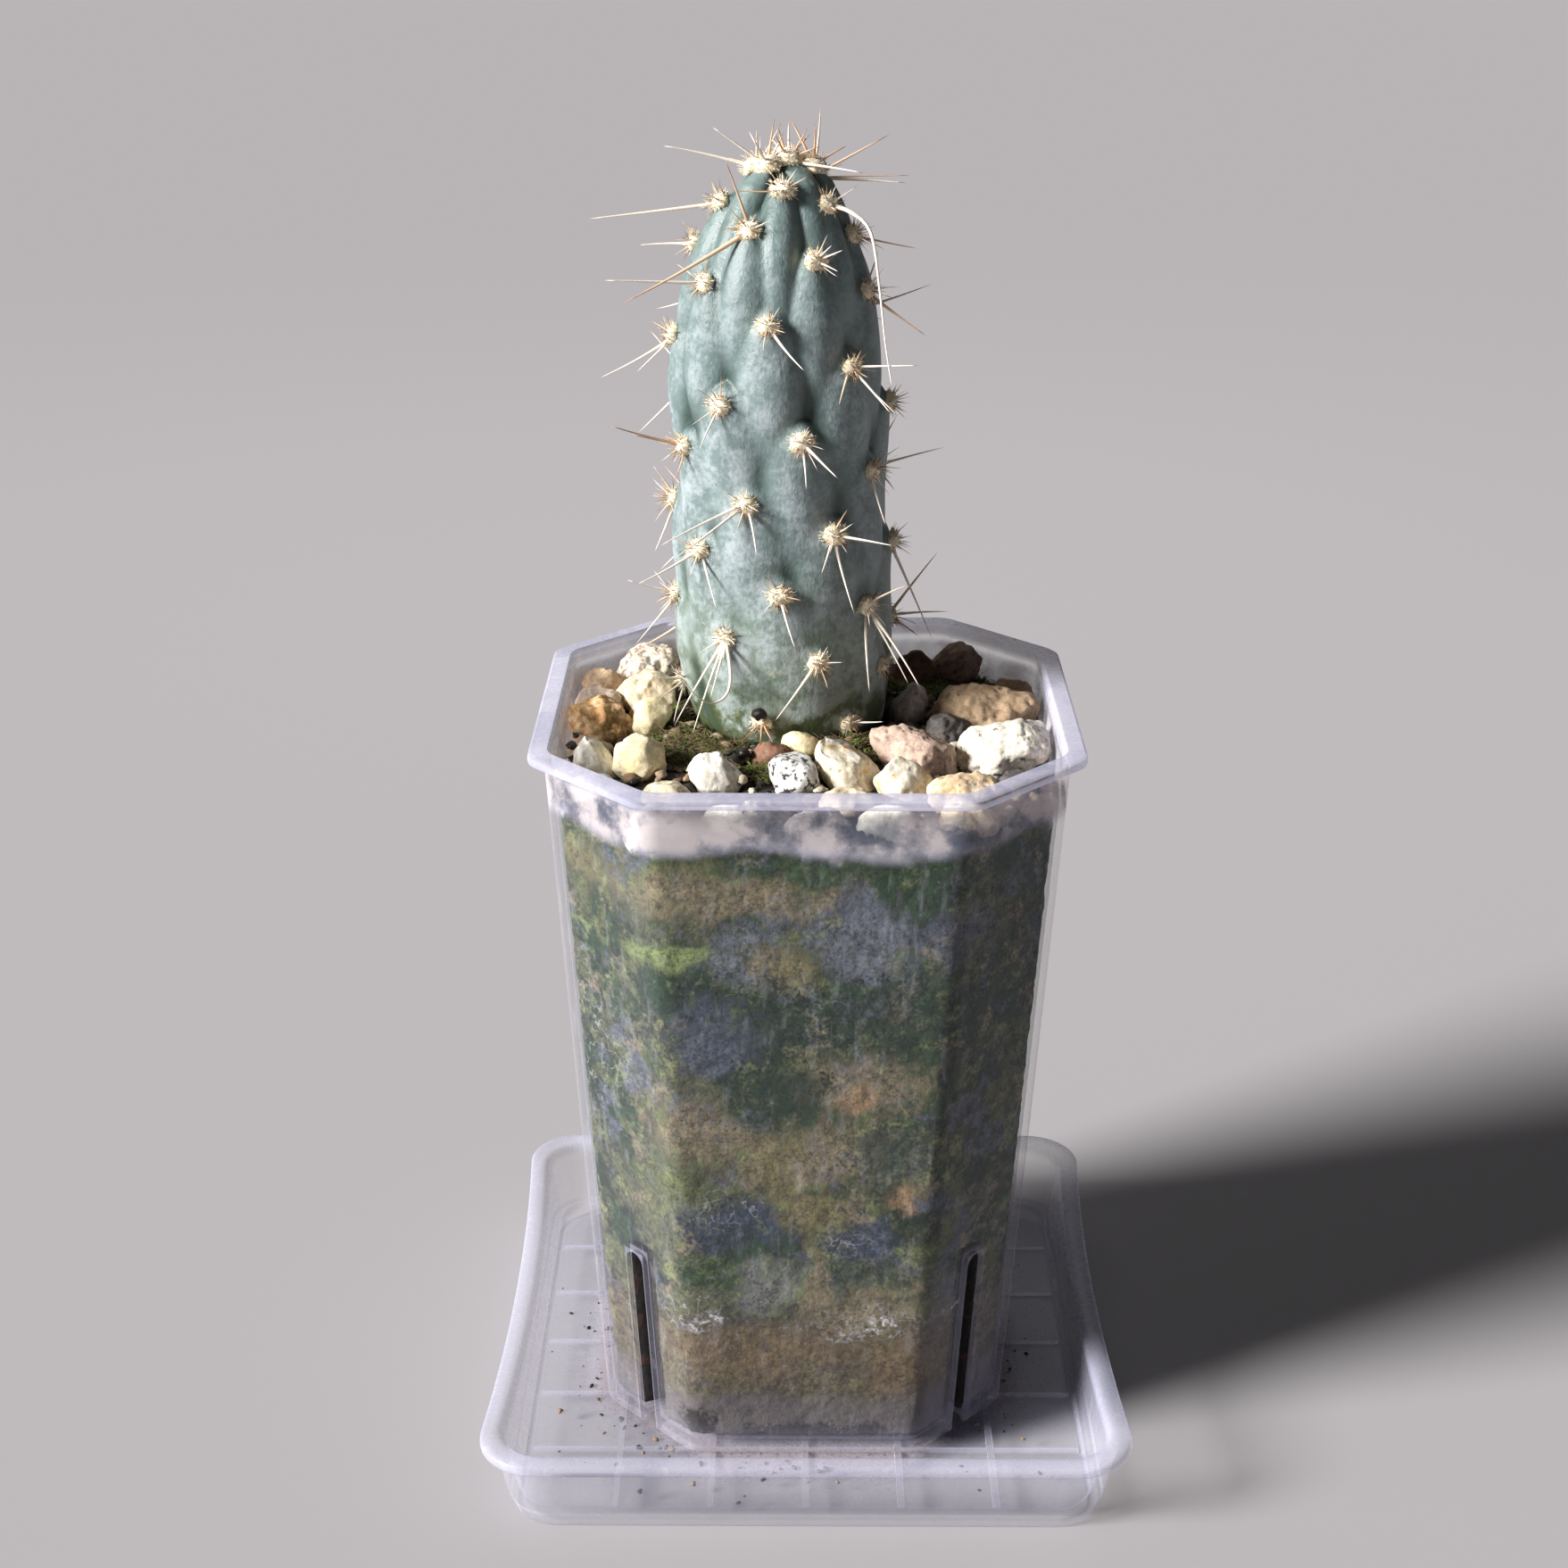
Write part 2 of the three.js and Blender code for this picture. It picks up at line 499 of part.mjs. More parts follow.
// Areoles with no measured spine carry a short fan of them
function makeFan(spot) {
  const draw = drawFrom(spot.number + 100);
  const out = outward(spot);
  const across = new THREE.Vector3(Math.cos(spot.turn), Math.sin(spot.turn), 0);
  const up = out.clone().cross(across);
  const nearSoil = spot.height < 106;
  const share = nearSoil ? 0.6 : 1;
  const fan = [];
  for (let blade = 0; blade < 3; blade += 1) {
    const angle = 2 * Math.PI * (blade + draw() * 0.6) / 3 - Math.PI / 2;
    const lean = 0.5 + 0.5 * draw();
    const length = share * (blade === 0 ? 8 + 6 * draw() : 4 + 3 * draw());
    const way = out.clone();
    way.addScaledVector(across, lean * Math.cos(angle));
    way.addScaledVector(up, lean * Math.sin(angle));
    if (nearSoil) way.z = Math.max(0.4, way.z + 0.7);
    fan.push(spineTo(spot, way.normalize().multiplyScalar(length).toArray()));
  }
  return fan;
}

function makeCactus() {
  const pieces = [makeStem()];
  const measured = new Set(LONG_SPINES.map(([number]) => number).concat([3]));
  for (const spot of areoles) {
    pieces.push(makeCushion(spot));
    if (!measured.has(spot.number)) pieces.push(...makeFan(spot));
  }
  for (const [number, offset] of LONG_SPINES) pieces.push(spineTo(areole(number), offset));
  const archRoot = areolePlace(areole(3));
  const arch = ARCHING_SPINE.map((offset) => archRoot.clone().add(new THREE.Vector3(...offset)));
  pieces.push(makeSpine([archRoot, ...arch], SPINE_RADIUS));
  return pieces.reduce((joined, piece) => joined.add(piece));
}

// The plain hole in the soil that the stem's buried base stands in
function stemHole() {
  const rings = [];
  for (const [height, radius] of STEM_RADIUS.slice(1)) {
    if (height > 106) break;
    const ring = [];
    for (let side = 0; side < STEM_SIDES; side += 1) {
      ring.push(stemPoint(radius + 2 * GAP, 2 * Math.PI * side / STEM_SIDES, height));
    }
    rings.push(ring);
  }
  const bottom = STEM_RADIUS[0][0];
  return solidOf(loft(rings, stemPoint(0, 0, bottom - 1), stemPoint(0, 0, 106.5)));
}

// A stone is a ball worn flat on several sides, each side at its own distance from the middle
function makeStone([name, x, y, z, halfWidth, halfDepth, halfHeight, turn], number, grow = 0) {
  const draw = drawFrom(number + 1);
  const flats = [];
  for (let i = 0; i < STONE_FACETS; i += 1) {
    const height = 1 - 2 * (i + 0.5) / STONE_FACETS;
    const angle = i * 2.4 + draw() * 1.2;
    const level = Math.sqrt(1 - height ** 2);
    const facing = new THREE.Vector3(level * Math.cos(angle), level * Math.sin(angle), height);
    flats.push([facing, 0.84 + 0.12 * draw()]);
  }
  const detail = Math.max(halfWidth, halfDepth) >= BIG_STONE ? 2 : 1;
  const stone = new THREE.IcosahedronGeometry(1, detail);
  const spots = stone.attributes.position;
  const spot = new THREE.Vector3();
  for (let i = 0; i < spots.count; i += 1) {
    spot.fromBufferAttribute(spots, i).normalize();
    let reach = 1;
    for (const [facing, distance] of flats) {
      const toward = spot.dot(facing);
      if (toward > 0) reach = Math.min(reach, distance / toward);
    }
    spots.setXYZ(i, ...spot.multiplyScalar(0.35 + 0.65 * reach).toArray());
  }
  const sizes = [halfWidth, halfDepth, halfHeight].map((half) => half * STONE_FULLNESS + grow);
  stone.scale(...sizes);
  stone.rotateZ(THREE.MathUtils.degToRad(turn));
  stone.translate(x, y, z);
  return solidOf(stone);
}

// The soil's surface: low hills, banked up towards the stem
function soilHeight(x, y) {
  const fromStem = Math.hypot(x - along(STEM_AXIS_X, SOIL_LEVEL), y - STEM_Y);
  const bank = SOIL_BANK * Math.exp(-Math.max(0, fromStem - 13) / SOIL_BANK_REACH);
  const hills = 0.35 * Math.sin(x * 0.42 + 1) * Math.cos(y * 0.37) + 0.2 * Math.sin(x * 0.9 + y * 0.7);
  return SOIL_LEVEL + bank + hills;
}

function makeSoilBody() {
  const floor = POT_FLOOR_TOP + GAP;
  const levels = [potLevel(...potSize(floor, WALL + GAP), floor)];
  const wallTop = potLevel(...potSize(SOIL_LEVEL, WALL + GAP), SOIL_LEVEL);
  const middle = [along(STEM_AXIS_X, SOIL_LEVEL), STEM_Y];
  const rounds = 4;
  for (let round = rounds; round >= 1; round -= 1) {
    const share = round / rounds;
    levels.push(wallTop.map(([x, y]) => {
      const inX = middle[0] + (x - middle[0]) * share;
      const inY = middle[1] + (y - middle[1]) * share;
      return [inX, inY, soilHeight(inX, inY)];
    }));
  }
  const [x, y] = POT_CENTRE;
  return solidOf(loft(levels, [x, y, floor], [...middle, soilHeight(...middle)]));
}

addPiece('saucer', makeSaucer(), 0xe9e6f2, 0.25, { transparent: true, opacity: 0.35 });

const pot = makePot();
addPiece('pot', geometryOf(pot), 0xe6e4f0, 0.3, { transparent: true, opacity: 0.4 });

// Each stone stays in the pot's room, off the stem, and off the stones laid before it
const room = potRoom(POT_TOP - 0.6);
const hole = stemHole();
let soil = makeSoilBody().subtract(hole);
const laid = [];
STONES.forEach((stone, number) => {
  let solid = makeStone(stone, number).intersect(room).subtract(hole);
  for (const neighbour of laid) solid = solid.subtract(neighbour);
  const grown = makeStone(stone, number, GAP);
  soil = soil.subtract(grown);
  laid.push(grown);
  addPiece(stone[0], geometryOf(solid), stone[8], 0.85);
});
addPiece('substrate', geometryOf(soil), 0x3d3427, 0.95);
addPiece('cactus', geometryOf(makeCactus()), 0x6f8f86, 0.6);

export default part;
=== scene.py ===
import json
import math
import random

import bmesh
import bpy
import numpy as np
from mathutils import Matrix, Vector, noise
from mathutils.bvhtree import BVHTree


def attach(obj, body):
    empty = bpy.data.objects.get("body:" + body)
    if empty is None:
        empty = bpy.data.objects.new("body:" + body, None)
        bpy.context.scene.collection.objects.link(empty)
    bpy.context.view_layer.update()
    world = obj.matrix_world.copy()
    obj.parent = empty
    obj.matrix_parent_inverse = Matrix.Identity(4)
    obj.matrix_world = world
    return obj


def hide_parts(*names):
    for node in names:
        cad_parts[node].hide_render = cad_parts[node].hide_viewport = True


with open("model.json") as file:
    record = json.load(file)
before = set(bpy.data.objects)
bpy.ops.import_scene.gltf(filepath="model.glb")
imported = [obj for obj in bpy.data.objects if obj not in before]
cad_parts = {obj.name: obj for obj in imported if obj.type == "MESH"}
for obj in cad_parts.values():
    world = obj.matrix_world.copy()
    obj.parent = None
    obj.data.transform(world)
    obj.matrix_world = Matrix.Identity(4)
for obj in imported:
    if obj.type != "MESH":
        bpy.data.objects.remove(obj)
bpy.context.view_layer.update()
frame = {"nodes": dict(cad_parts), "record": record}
MM = 0.001

# Saucer: a square tray moulded in milky clear polypropylene, with a rolled lip and fine ribs on
# its floor. Its sides bow in a little, as thin moulded sides do when they cool.
SAUCER_HALF = 42.9
SAUCER_HEIGHT = 12.4
SAUCER_FOOT_HALF = 39.0
SAUCER_FLOOR_HALF = 37.6
SAUCER_FLOOR_TOP = 1.7
SAUCER_BOW = 1.5
RIB_TOP = 2.3
RIB_WIDTH = 0.9
RIB_PITCH = 12.65
# Where the pot stands on it
POT_MIDDLE = (-0.2, 0.8)


def loft(rings, first_middle, last_middle):
    """The points and faces of a closed skin over rings of equal length."""
    sides = len(rings[0])
    first = len(rings) * sides
    last = first + 1
    points = np.concatenate([np.concatenate(rings), [first_middle, last_middle]])
    faces = []
    for side in range(sides):
        after = (side + 1) % sides
        faces.append((first, after, side))
        for low in range(0, first - sides, sides):
            faces.append((low + side, low + after, low + sides + after, low + sides + side))
        faces.append((last, first - sides + side, first - sides + after))
    return points, faces


def eased(levels, rounds=2):
    """The levels of a profile with its corners cut off and cut again, so that they turn softly."""
    levels = [np.array(level, float) for level in levels]
    for _ in range(rounds):
        softer = [levels[0]]
        for here, there in zip(levels, levels[1:]):
            softer += [0.75 * here + 0.25 * there, 0.25 * here + 0.75 * there]
        levels = softer + [levels[-1]]
    return levels


def mesh_piece(name, points, faces):
    """A smooth piece whose points are given in millimetres."""
    mesh = bpy.data.meshes.new(name)
    mesh.from_pydata((np.asarray(points) * MM).tolist(), [], faces)
    mesh.shade_smooth()
    piece = bpy.data.objects.new(name, mesh)
    bpy.context.scene.collection.objects.link(piece)
    return piece


def keep_values(piece, label, values):
    """Stores one number with each of the piece's points, for its material to read."""
    kept = piece.data.attributes.new(label, "FLOAT", "POINT")
    kept.data.foreach_set("value", np.array(values, np.float32))


def settle(piece):
    """Keeps the piece's mesh as its modifiers leave it."""
    graph = bpy.context.evaluated_depsgraph_get()
    mesh = bpy.data.meshes.new_from_object(piece.evaluated_get(graph))
    piece.modifiers.clear()
    piece.data = mesh


def join_solid(piece, other, operation):
    """Joins other to piece, or cuts it out of piece."""
    change = piece.modifiers.new("change", "BOOLEAN")
    change.operation = operation
    change.solver = "EXACT"
    change.object = other
    settle(piece)
    bpy.data.objects.remove(other)


def even_shading(piece, sharp_from):
    """Keeps the piece's edges crisp where they turn more than sharp_from degrees, and its flats flat."""
    piece.data.set_sharp_from_angle(angle=math.radians(sharp_from))
    even = piece.modifiers.new("even", "WEIGHTED_NORMAL")
    even.keep_sharp = True
    even.weight = 80


def place_piece(piece, material, slot, *replaced):
    piece.data.materials.clear()
    piece.data.materials.append(material)
    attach(piece, "root")
    if replaced:
        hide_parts(*replaced)


def box_piece(name, low, high):
    corners = [(x, y, z) for x in (low[0], high[0]) for y in (low[1], high[1]) for z in (low[2], high[2])]
    faces = [(0, 1, 3, 2), (4, 6, 7, 5), (0, 4, 5, 1), (2, 3, 7, 6), (0, 2, 6, 4), (1, 5, 7, 3)]
    return mesh_piece(name, corners, faces)


def saucer_ring(level):
    """A square with round corners at one height, its left and right sides bowed inward."""
    half, height, corner = level
    side_steps = corner_steps = 8
    straight = half - corner
    bow = SAUCER_BOW * (height / SAUCER_HEIGHT) ** 2
    ring = []
    for quarter in range(4):
        facing = quarter * math.pi / 2
        for step in range(side_steps + 1):
            run = straight * (2 * step / side_steps - 1)
            inward = bow * (1 - (run / straight) ** 2) if quarter % 2 == 0 else 0
            ring.append((half - inward, run, facing))
        for step in range(1, corner_steps):
            angle = math.pi / 2 * step / corner_steps
            out, run = straight + corner * math.cos(angle), straight + corner * math.sin(angle)
            ring.append((out, run, facing))
    return np.array([
        (out * math.cos(facing) - run * math.sin(facing),
         out * math.sin(facing) + run * math.cos(facing), height)
        for out, run, facing in ring
    ])


def make_saucer():
    underside = 0.4
    foot = SAUCER_FOOT_HALF
    profile = eased([
        (foot - 1.3, underside, 5.2), (foot - 1.3, 0, 5.2), (foot, 0, 6), (foot + 0.1, 1.5, 6),
        (foot + 0.7, 2.2, 6.2), (foot + 1.4, 6, 6.6), (foot + 2.1, 10.6, 7), (SAUCER_HALF - 0.4, 10.5, 7.3),
        (SAUCER_HALF + 0.1, 11.1, 7.5), (SAUCER_HALF, SAUCER_HEIGHT + 0.06, 7.5),
        (SAUCER_HALF - 2.4, SAUCER_HEIGHT + 0.06, 6.3), (foot + 0.8, 11.4, 5.6),
        (SAUCER_FLOOR_HALF + 0.9, 3.2, 5), (SAUCER_FLOOR_HALF, SAUCER_FLOOR_TOP, 4.6),
        (SAUCER_FLOOR_HALF - 3, SAUCER_FLOOR_TOP, 3),
    ])
    rings = [saucer_ring(level) for level in profile]
    tray = mesh_piece("saucer_tray", *loft(rings, (0, 0, underside), (0, 0, SAUCER_FLOOR_TOP)))
    reach = SAUCER_FLOOR_HALF - 0.3
    for line in range(-2, 3):
        low, high = line * RIB_PITCH - RIB_WIDTH / 2, line * RIB_PITCH + RIB_WIDTH / 2
        join_solid(tray, box_piece("rib", (-reach, low, 1.2), (reach, high, RIB_TOP)), "UNION")
        join_solid(tray, box_piece("rib", (low, -reach, 1.2), (high, reach, RIB_TOP - 0.05)), "UNION")
    soften = tray.modifiers.new("soften", "BEVEL")
    soften.width = 0.18 * MM
    soften.segments = 2
    soften.limit_method = "ANGLE"
    soften.angle_limit = math.radians(50)
    settle(tray)
    tray.data.shade_smooth()
    even_shading(tray, 60)
    return tray


class Wire:
    """A node's output. Sums and products of wires lay out the math nodes that work them out."""

    def __init__(self, finish, socket):
        self.finish, self.socket = finish, socket

    def __add__(self, other):
        return self.finish.reckon("ADD", self, other)

    def __sub__(self, other):
        return self.finish.reckon("SUBTRACT", self, other)

    def __rsub__(self, other):
        return self.finish.reckon("SUBTRACT", other, self)

    def __mul__(self, other):
        return self.finish.reckon("MULTIPLY", self, other)

    def __truediv__(self, other):
        return self.finish.reckon("DIVIDE", self, other)

    def __pow__(self, other):
        return self.finish.reckon("POWER", self, other)

    def __abs__(self):
        return self.finish.reckon("ABSOLUTE", self)

    def rise(self, low, high, start=0.0, end=1.0):
        """From start to end, softly, as the value goes from low to high."""
        return self.finish.add("MapRange", settings={"interpolation_type": "SMOOTHSTEP"}, Value=self,
                               From_Min=low, From_Max=high, To_Min=start, To_Max=end)


class Finish:
    """A material or a node group while its nodes are laid out."""

    def __init__(self, tree):
        self.tree = tree

    def add(self, kind, output=0, settings=None, **inputs):
        """Adds a node and returns one output. Inputs have their sockets' names, with _ for a space."""
        made = self.tree.nodes.new("ShaderNode" + kind)
        for key, value in (settings or {}).items():
            setattr(made, key, value)
        for key, value in inputs.items():
            self.feed(made.inputs[key.replace("_", " ")], value)
        return Wire(self, made.outputs[output])

    def feed(self, socket, value):
        """Links a wire to a socket, or writes a value or a colour of three parts into it."""
        if isinstance(value, Wire):
            self.tree.links.new(value.socket, socket)
        else:
            socket.default_value = (*value, 1) if socket.type == "RGBA" else value

    def reckon(self, operation, first, second=None, output=0):
        """One math node, for numbers or for vectors as first asks."""
        on_vectors = isinstance(first, Wire) and first.socket.type in ("VECTOR", "RGBA")
        made = self.tree.nodes.new("ShaderNodeVectorMath" if on_vectors else "ShaderNodeMath")
        made.operation = operation
        self.feed(made.inputs[0], first)
        if second is not None:
            self.feed(made.inputs[1], second)
        return Wire(self, made.outputs[output])

    def cloud(self, place, size, detail=4.0, rough=0.55, bend=0.0):
        """Soft noise whose lumps are about size millimetres across."""
        return self.add("TexNoise", Vector=place, Scale=1 / (size * MM), Detail=detail,
                        Roughness=rough, Distortion=bend)

    def cells(self, place, size):
        """How far a place is from the nearest of many scattered points, as a share of size millimetres."""
        return self.add("TexVoronoi", Vector=place, Scale=1 / (size * MM))

    def blend(self, share, first, second, way="MIX"):
        made = self.tree.nodes.new("ShaderNodeMix")
        made.data_type = "RGBA"
        made.blend_type = way
        self.feed(made.inputs["Factor"], share)
        self.feed(made.inputs[6], first)
        self.feed(made.inputs[7], second)
        return Wire(self, made.outputs[2])

    def shaded(self, colour, light):
        """The colour, as much darker or lighter as light is under or over 1."""
        grey = self.add("CombineColor", Red=light, Green=light, Blue=light)
        return self.blend(1.0, colour, grey, "MULTIPLY")

    def place(self):
        return self.add("TexCoord", "Object")

    def kept(self, name):
        """A value that the mesh keeps at each of its points."""
        return self.add("Attribute", "Fac", settings={"attribute_name": name})

    def parts(self, vector):
        made = self.tree.nodes.new("ShaderNodeSeparateXYZ")
        self.feed(made.inputs[0], vector)
        return [Wire(self, part) for part in made.outputs]

    def group(self, shared, **inputs):
        """Places a shared group and returns its outputs by name."""
        made = self.tree.nodes.new("ShaderNodeGroup")
        made.node_tree = shared
        for key, value in inputs.items():
            self.feed(made.inputs[key], value)
        return self.wires(made)

    def wires(self, node):
        return {output.name: Wire(self, output) for output in node.outputs}

    def bump(self, height, strength, depth):
        return self.add("Bump", Strength=strength, Distance=depth * MM, Height=height)


def shared_group(name, inputs, outputs):
    """An empty node group, its Finish, what it is given and its output node's inputs."""
    tree = bpy.data.node_groups.new(name, "ShaderNodeTree")
    for way, sockets in (("INPUT", inputs), ("OUTPUT", outputs)):
        for label, kind in sockets.items():
            tree.interface.new_socket(label, in_out=way, socket_type="NodeSocket" + kind)
    finish = Finish(tree)
    given = finish.wires(tree.nodes.new("NodeGroupInput"))
    return tree, finish, given, tree.nodes.new("NodeGroupOutput").inputs


def new_material(name):
    """A material, its Finish and its one Principled shader."""
    material = bpy.data.materials.new(name)
    material.use_nodes = True
    shader = material.node_tree.nodes["Principled BSDF"]
    return material, Finish(material.node_tree), shader


def make_haze():
    """Milky moulded plastic: clouds in its depth, fine scuffs and dried water marks."""
    tree, finish, given, wanted = shared_group(
        "milky_haze",
        {"Place": "Vector", "Tint": "Color", "Cloud": "Float", "Marks": "Float"},
        {"Color": "Color", "Alpha": "Float", "Roughness": "Float", "Height": "Float"},
    )
    place = given["Place"]
    drift = finish.cloud(place, 9, 2)
    stretched = place * (1.0, 1.0, 0.22)
    runs = finish.cloud(stretched, 1.6, 3, 0.7).rise(0.56, 0.72)
    spots = finish.cells(place, 1.7).rise(0.15, 0.06) * drift.rise(0.5, 0.62)
    marks = finish.reckon("MAXIMUM", runs, spots) * given["Marks"]
    cloud = given["Cloud"] * drift.rise(0.3, 0.7, 0.82, 1.18)
    alpha = cloud + marks * 0.10
    finish.feed(wanted["Alpha"], finish.reckon("MINIMUM", alpha, 1.0))
    finish.feed(wanted["Color"], finish.blend(marks * 0.6, given["Tint"], (0.9, 0.89, 0.86)))
    scuff = finish.cloud(place, 0.6, 1)
    rough = scuff.rise(0.3, 0.7, 0.22, 0.34)
    finish.feed(wanted["Roughness"], rough + marks * 0.25)
    finish.feed(wanted["Height"], drift + scuff * 0.02)
    return tree


milky_haze = make_haze()
PLASTIC_TINT = (0.72, 0.72, 0.92)


def clear_plastic(finish, shader, alpha, roughness, height):
    """Looks denser the flatter the view along it is, and its outer skin mirrors the light."""
    normal = finish.bump(height, 0.5, 0.25)
    slant = finish.add("LayerWeight", "Facing", Blend=0.35)
    dense = slant ** 3.0 * 0.3
    finish.feed(shader.inputs["Alpha"], finish.reckon("MINIMUM", alpha + dense, 1.0))
    finish.feed(shader.inputs["Roughness"], roughness)
    finish.feed(shader.inputs["Normal"], normal)
    shader.inputs["Specular IOR Level"].default_value = 0.0
    edge = finish.add("Fresnel", IOR=1.4)
    outer = 1.0 - finish.add("NewGeometry", "Backfacing")
    mirror = finish.add("BsdfGlossy", Color=(1, 1, 1), Roughness=roughness, Normal=normal)
    mixed = finish.tree.nodes.new("ShaderNodeMixShader")
    finish.feed(mixed.inputs[0], edge * outer * 0.5)
    finish.feed(mixed.inputs[1], Wire(finish, shader.outputs[0]))
    finish.feed(mixed.inputs[2], mirror)
    finish.feed(finish.tree.nodes["Material Output"].inputs["Surface"], Wire(finish, mixed.outputs[0]))


def from_pot_middle(finish, place):
    """How far a place is from the pot's middle along x and along y."""
    across, along_y, _ = finish.parts(abs(place - (POT_MIDDLE[0] * MM, POT_MIDDLE[1] * MM, 0)))
    return across, along_y


def round_pot(finish, place, near, far):
    """1 nearer to the pot's middle than near, and 0 further than far, in the shape of the pot."""
    x, y = from_pot_middle(finish, place)
    reach = finish.reckon("MAXIMUM", finish.reckon("MAXIMUM", x, y), (x + y) * 0.72)
    return reach.rise(far * MM, near * MM)


def saucer_material():
    """Dust and washed-out soil lie on the floor round the pot."""
    material, finish, shader = new_material("saucer_plastic")
    place = finish.place()
    haze = finish.group(milky_haze, Place=place, Tint=PLASTIC_TINT, Cloud=0.07, Marks=0.5)
    height = finish.parts(place)[2]
    lip = height.rise(10.2 * MM, 11.6 * MM, 0, 0.22)
    rib = height.rise(1.9 * MM, 2.2 * MM, 0, 0.16)
    grit = finish.cloud(place, 0.45, 4, 0.7)
    speck = finish.cells(place, 1.1).rise(0.17, 0.10)
    near_pot = round_pot(finish, place, 28.5, 32.5)
    wide = round_pot(finish, place, 29, 41)
    on_floor = height.rise(3.4 * MM, 2.4 * MM)
    patchy = finish.cloud(place, 7, 4, 0.6).rise(0.42, 0.6)
    ring = near_pot * grit.rise(0.36, 0.56, 0.15, 0.8)
    loose = wide * patchy * grit.rise(0.5, 0.64, 0, 0.35)
    dust = finish.reckon("MAXIMUM", ring, loose) * on_floor
    dark = speck * wide * on_floor
    rib = rib * height.rise(2.9 * MM, 2.5 * MM)
    alpha = haze["Alpha"] + lip + rib
    alpha = finish.reckon("MAXIMUM", alpha, dust * 0.75)
    alpha = finish.reckon("MAXIMUM", alpha, dark * 0.8)
    colour = finish.blend(dust, haze["Color"], (0.42, 0.34, 0.31))
    colour = finish.blend(dark * 0.8, colour, (0.10, 0.07, 0.06))
    finish.feed(shader.inputs["Base Color"], colour)
    rough = haze["Roughness"] + dust * 0.4
    clear_plastic(finish, shader, alpha, rough, haze["Height"])
    return material


place_piece(make_saucer(), saucer_material(), "clear_plastic", "saucer")

# Pot: the same plastic, a square with cut corners that widens upward to a flat flanged rim. A slot
# in each cut corner lets water and air through, and it stands on the saucer's ribs.
POT_BASE = 2.6
POT_TOP = 101.9
POT_BASE_HALF = 27.5
POT_NECK_HALF = 33.0
POT_BASE_CUT = 12.1
POT_NECK_CUT = 13.2
RIM_HALF = 35.0
RIM_CUT = 14.4
RIM_HEIGHT = 1.55
WALL = 0.9
POT_FLOOR_TOP = 4.0
SLOT_WIDTH = 3.2
SLOT_TOP = 31.5
DRAIN_RADIUS = 4.0


def pot_size(height, inset=0.0):
    share = (height - POT_BASE) / (POT_TOP - RIM_HEIGHT - POT_BASE)
    half = POT_BASE_HALF + (POT_NECK_HALF - POT_BASE_HALF) * share - inset
    cut = POT_BASE_CUT + (POT_NECK_CUT - POT_BASE_CUT) * share - inset * (2 - math.sqrt(2))
    return half, cut


def pot_ring(level):
    """A square with cut corners at one height, each of its eight edges a small arc."""
    half, cut, height = level
    soften = 1.7
    arc_steps = 5
    outline = [
        (half, -half + cut), (half, half - cut), (half - cut, half), (-half + cut, half),
        (-half, half - cut), (-half, -half + cut), (-half + cut, -half), (half - cut, -half),
    ]
    ring = []
    for number, corner in enumerate(outline):
        here = Vector(corner)
        before = Vector(outline[number - 1])
        after = Vector(outline[(number + 1) % 8])
        start = here + (before - here).normalized() * soften
        end = here + (after - here).normalized() * soften
        for step in range(arc_steps + 1):
            t = step / arc_steps
            bend = start * (1 - t) ** 2 + here * 2 * t * (1 - t) + end * t ** 2
            ring.append((bend.x + POT_MIDDLE[0], bend.y + POT_MIDDLE[1], height))
    return np.array(ring)


def level_at(height, inset=0.0):
    return (*pot_size(height, inset), height)


def cut_through(piece, ends):
    """Cuts a hole whose two ends are rings of points."""
    cutter = mesh_piece("cutter", *loft(ends, ends[0].mean(0), ends[1].mean(0)))
    join_solid(piece, cutter, "DIFFERENCE")


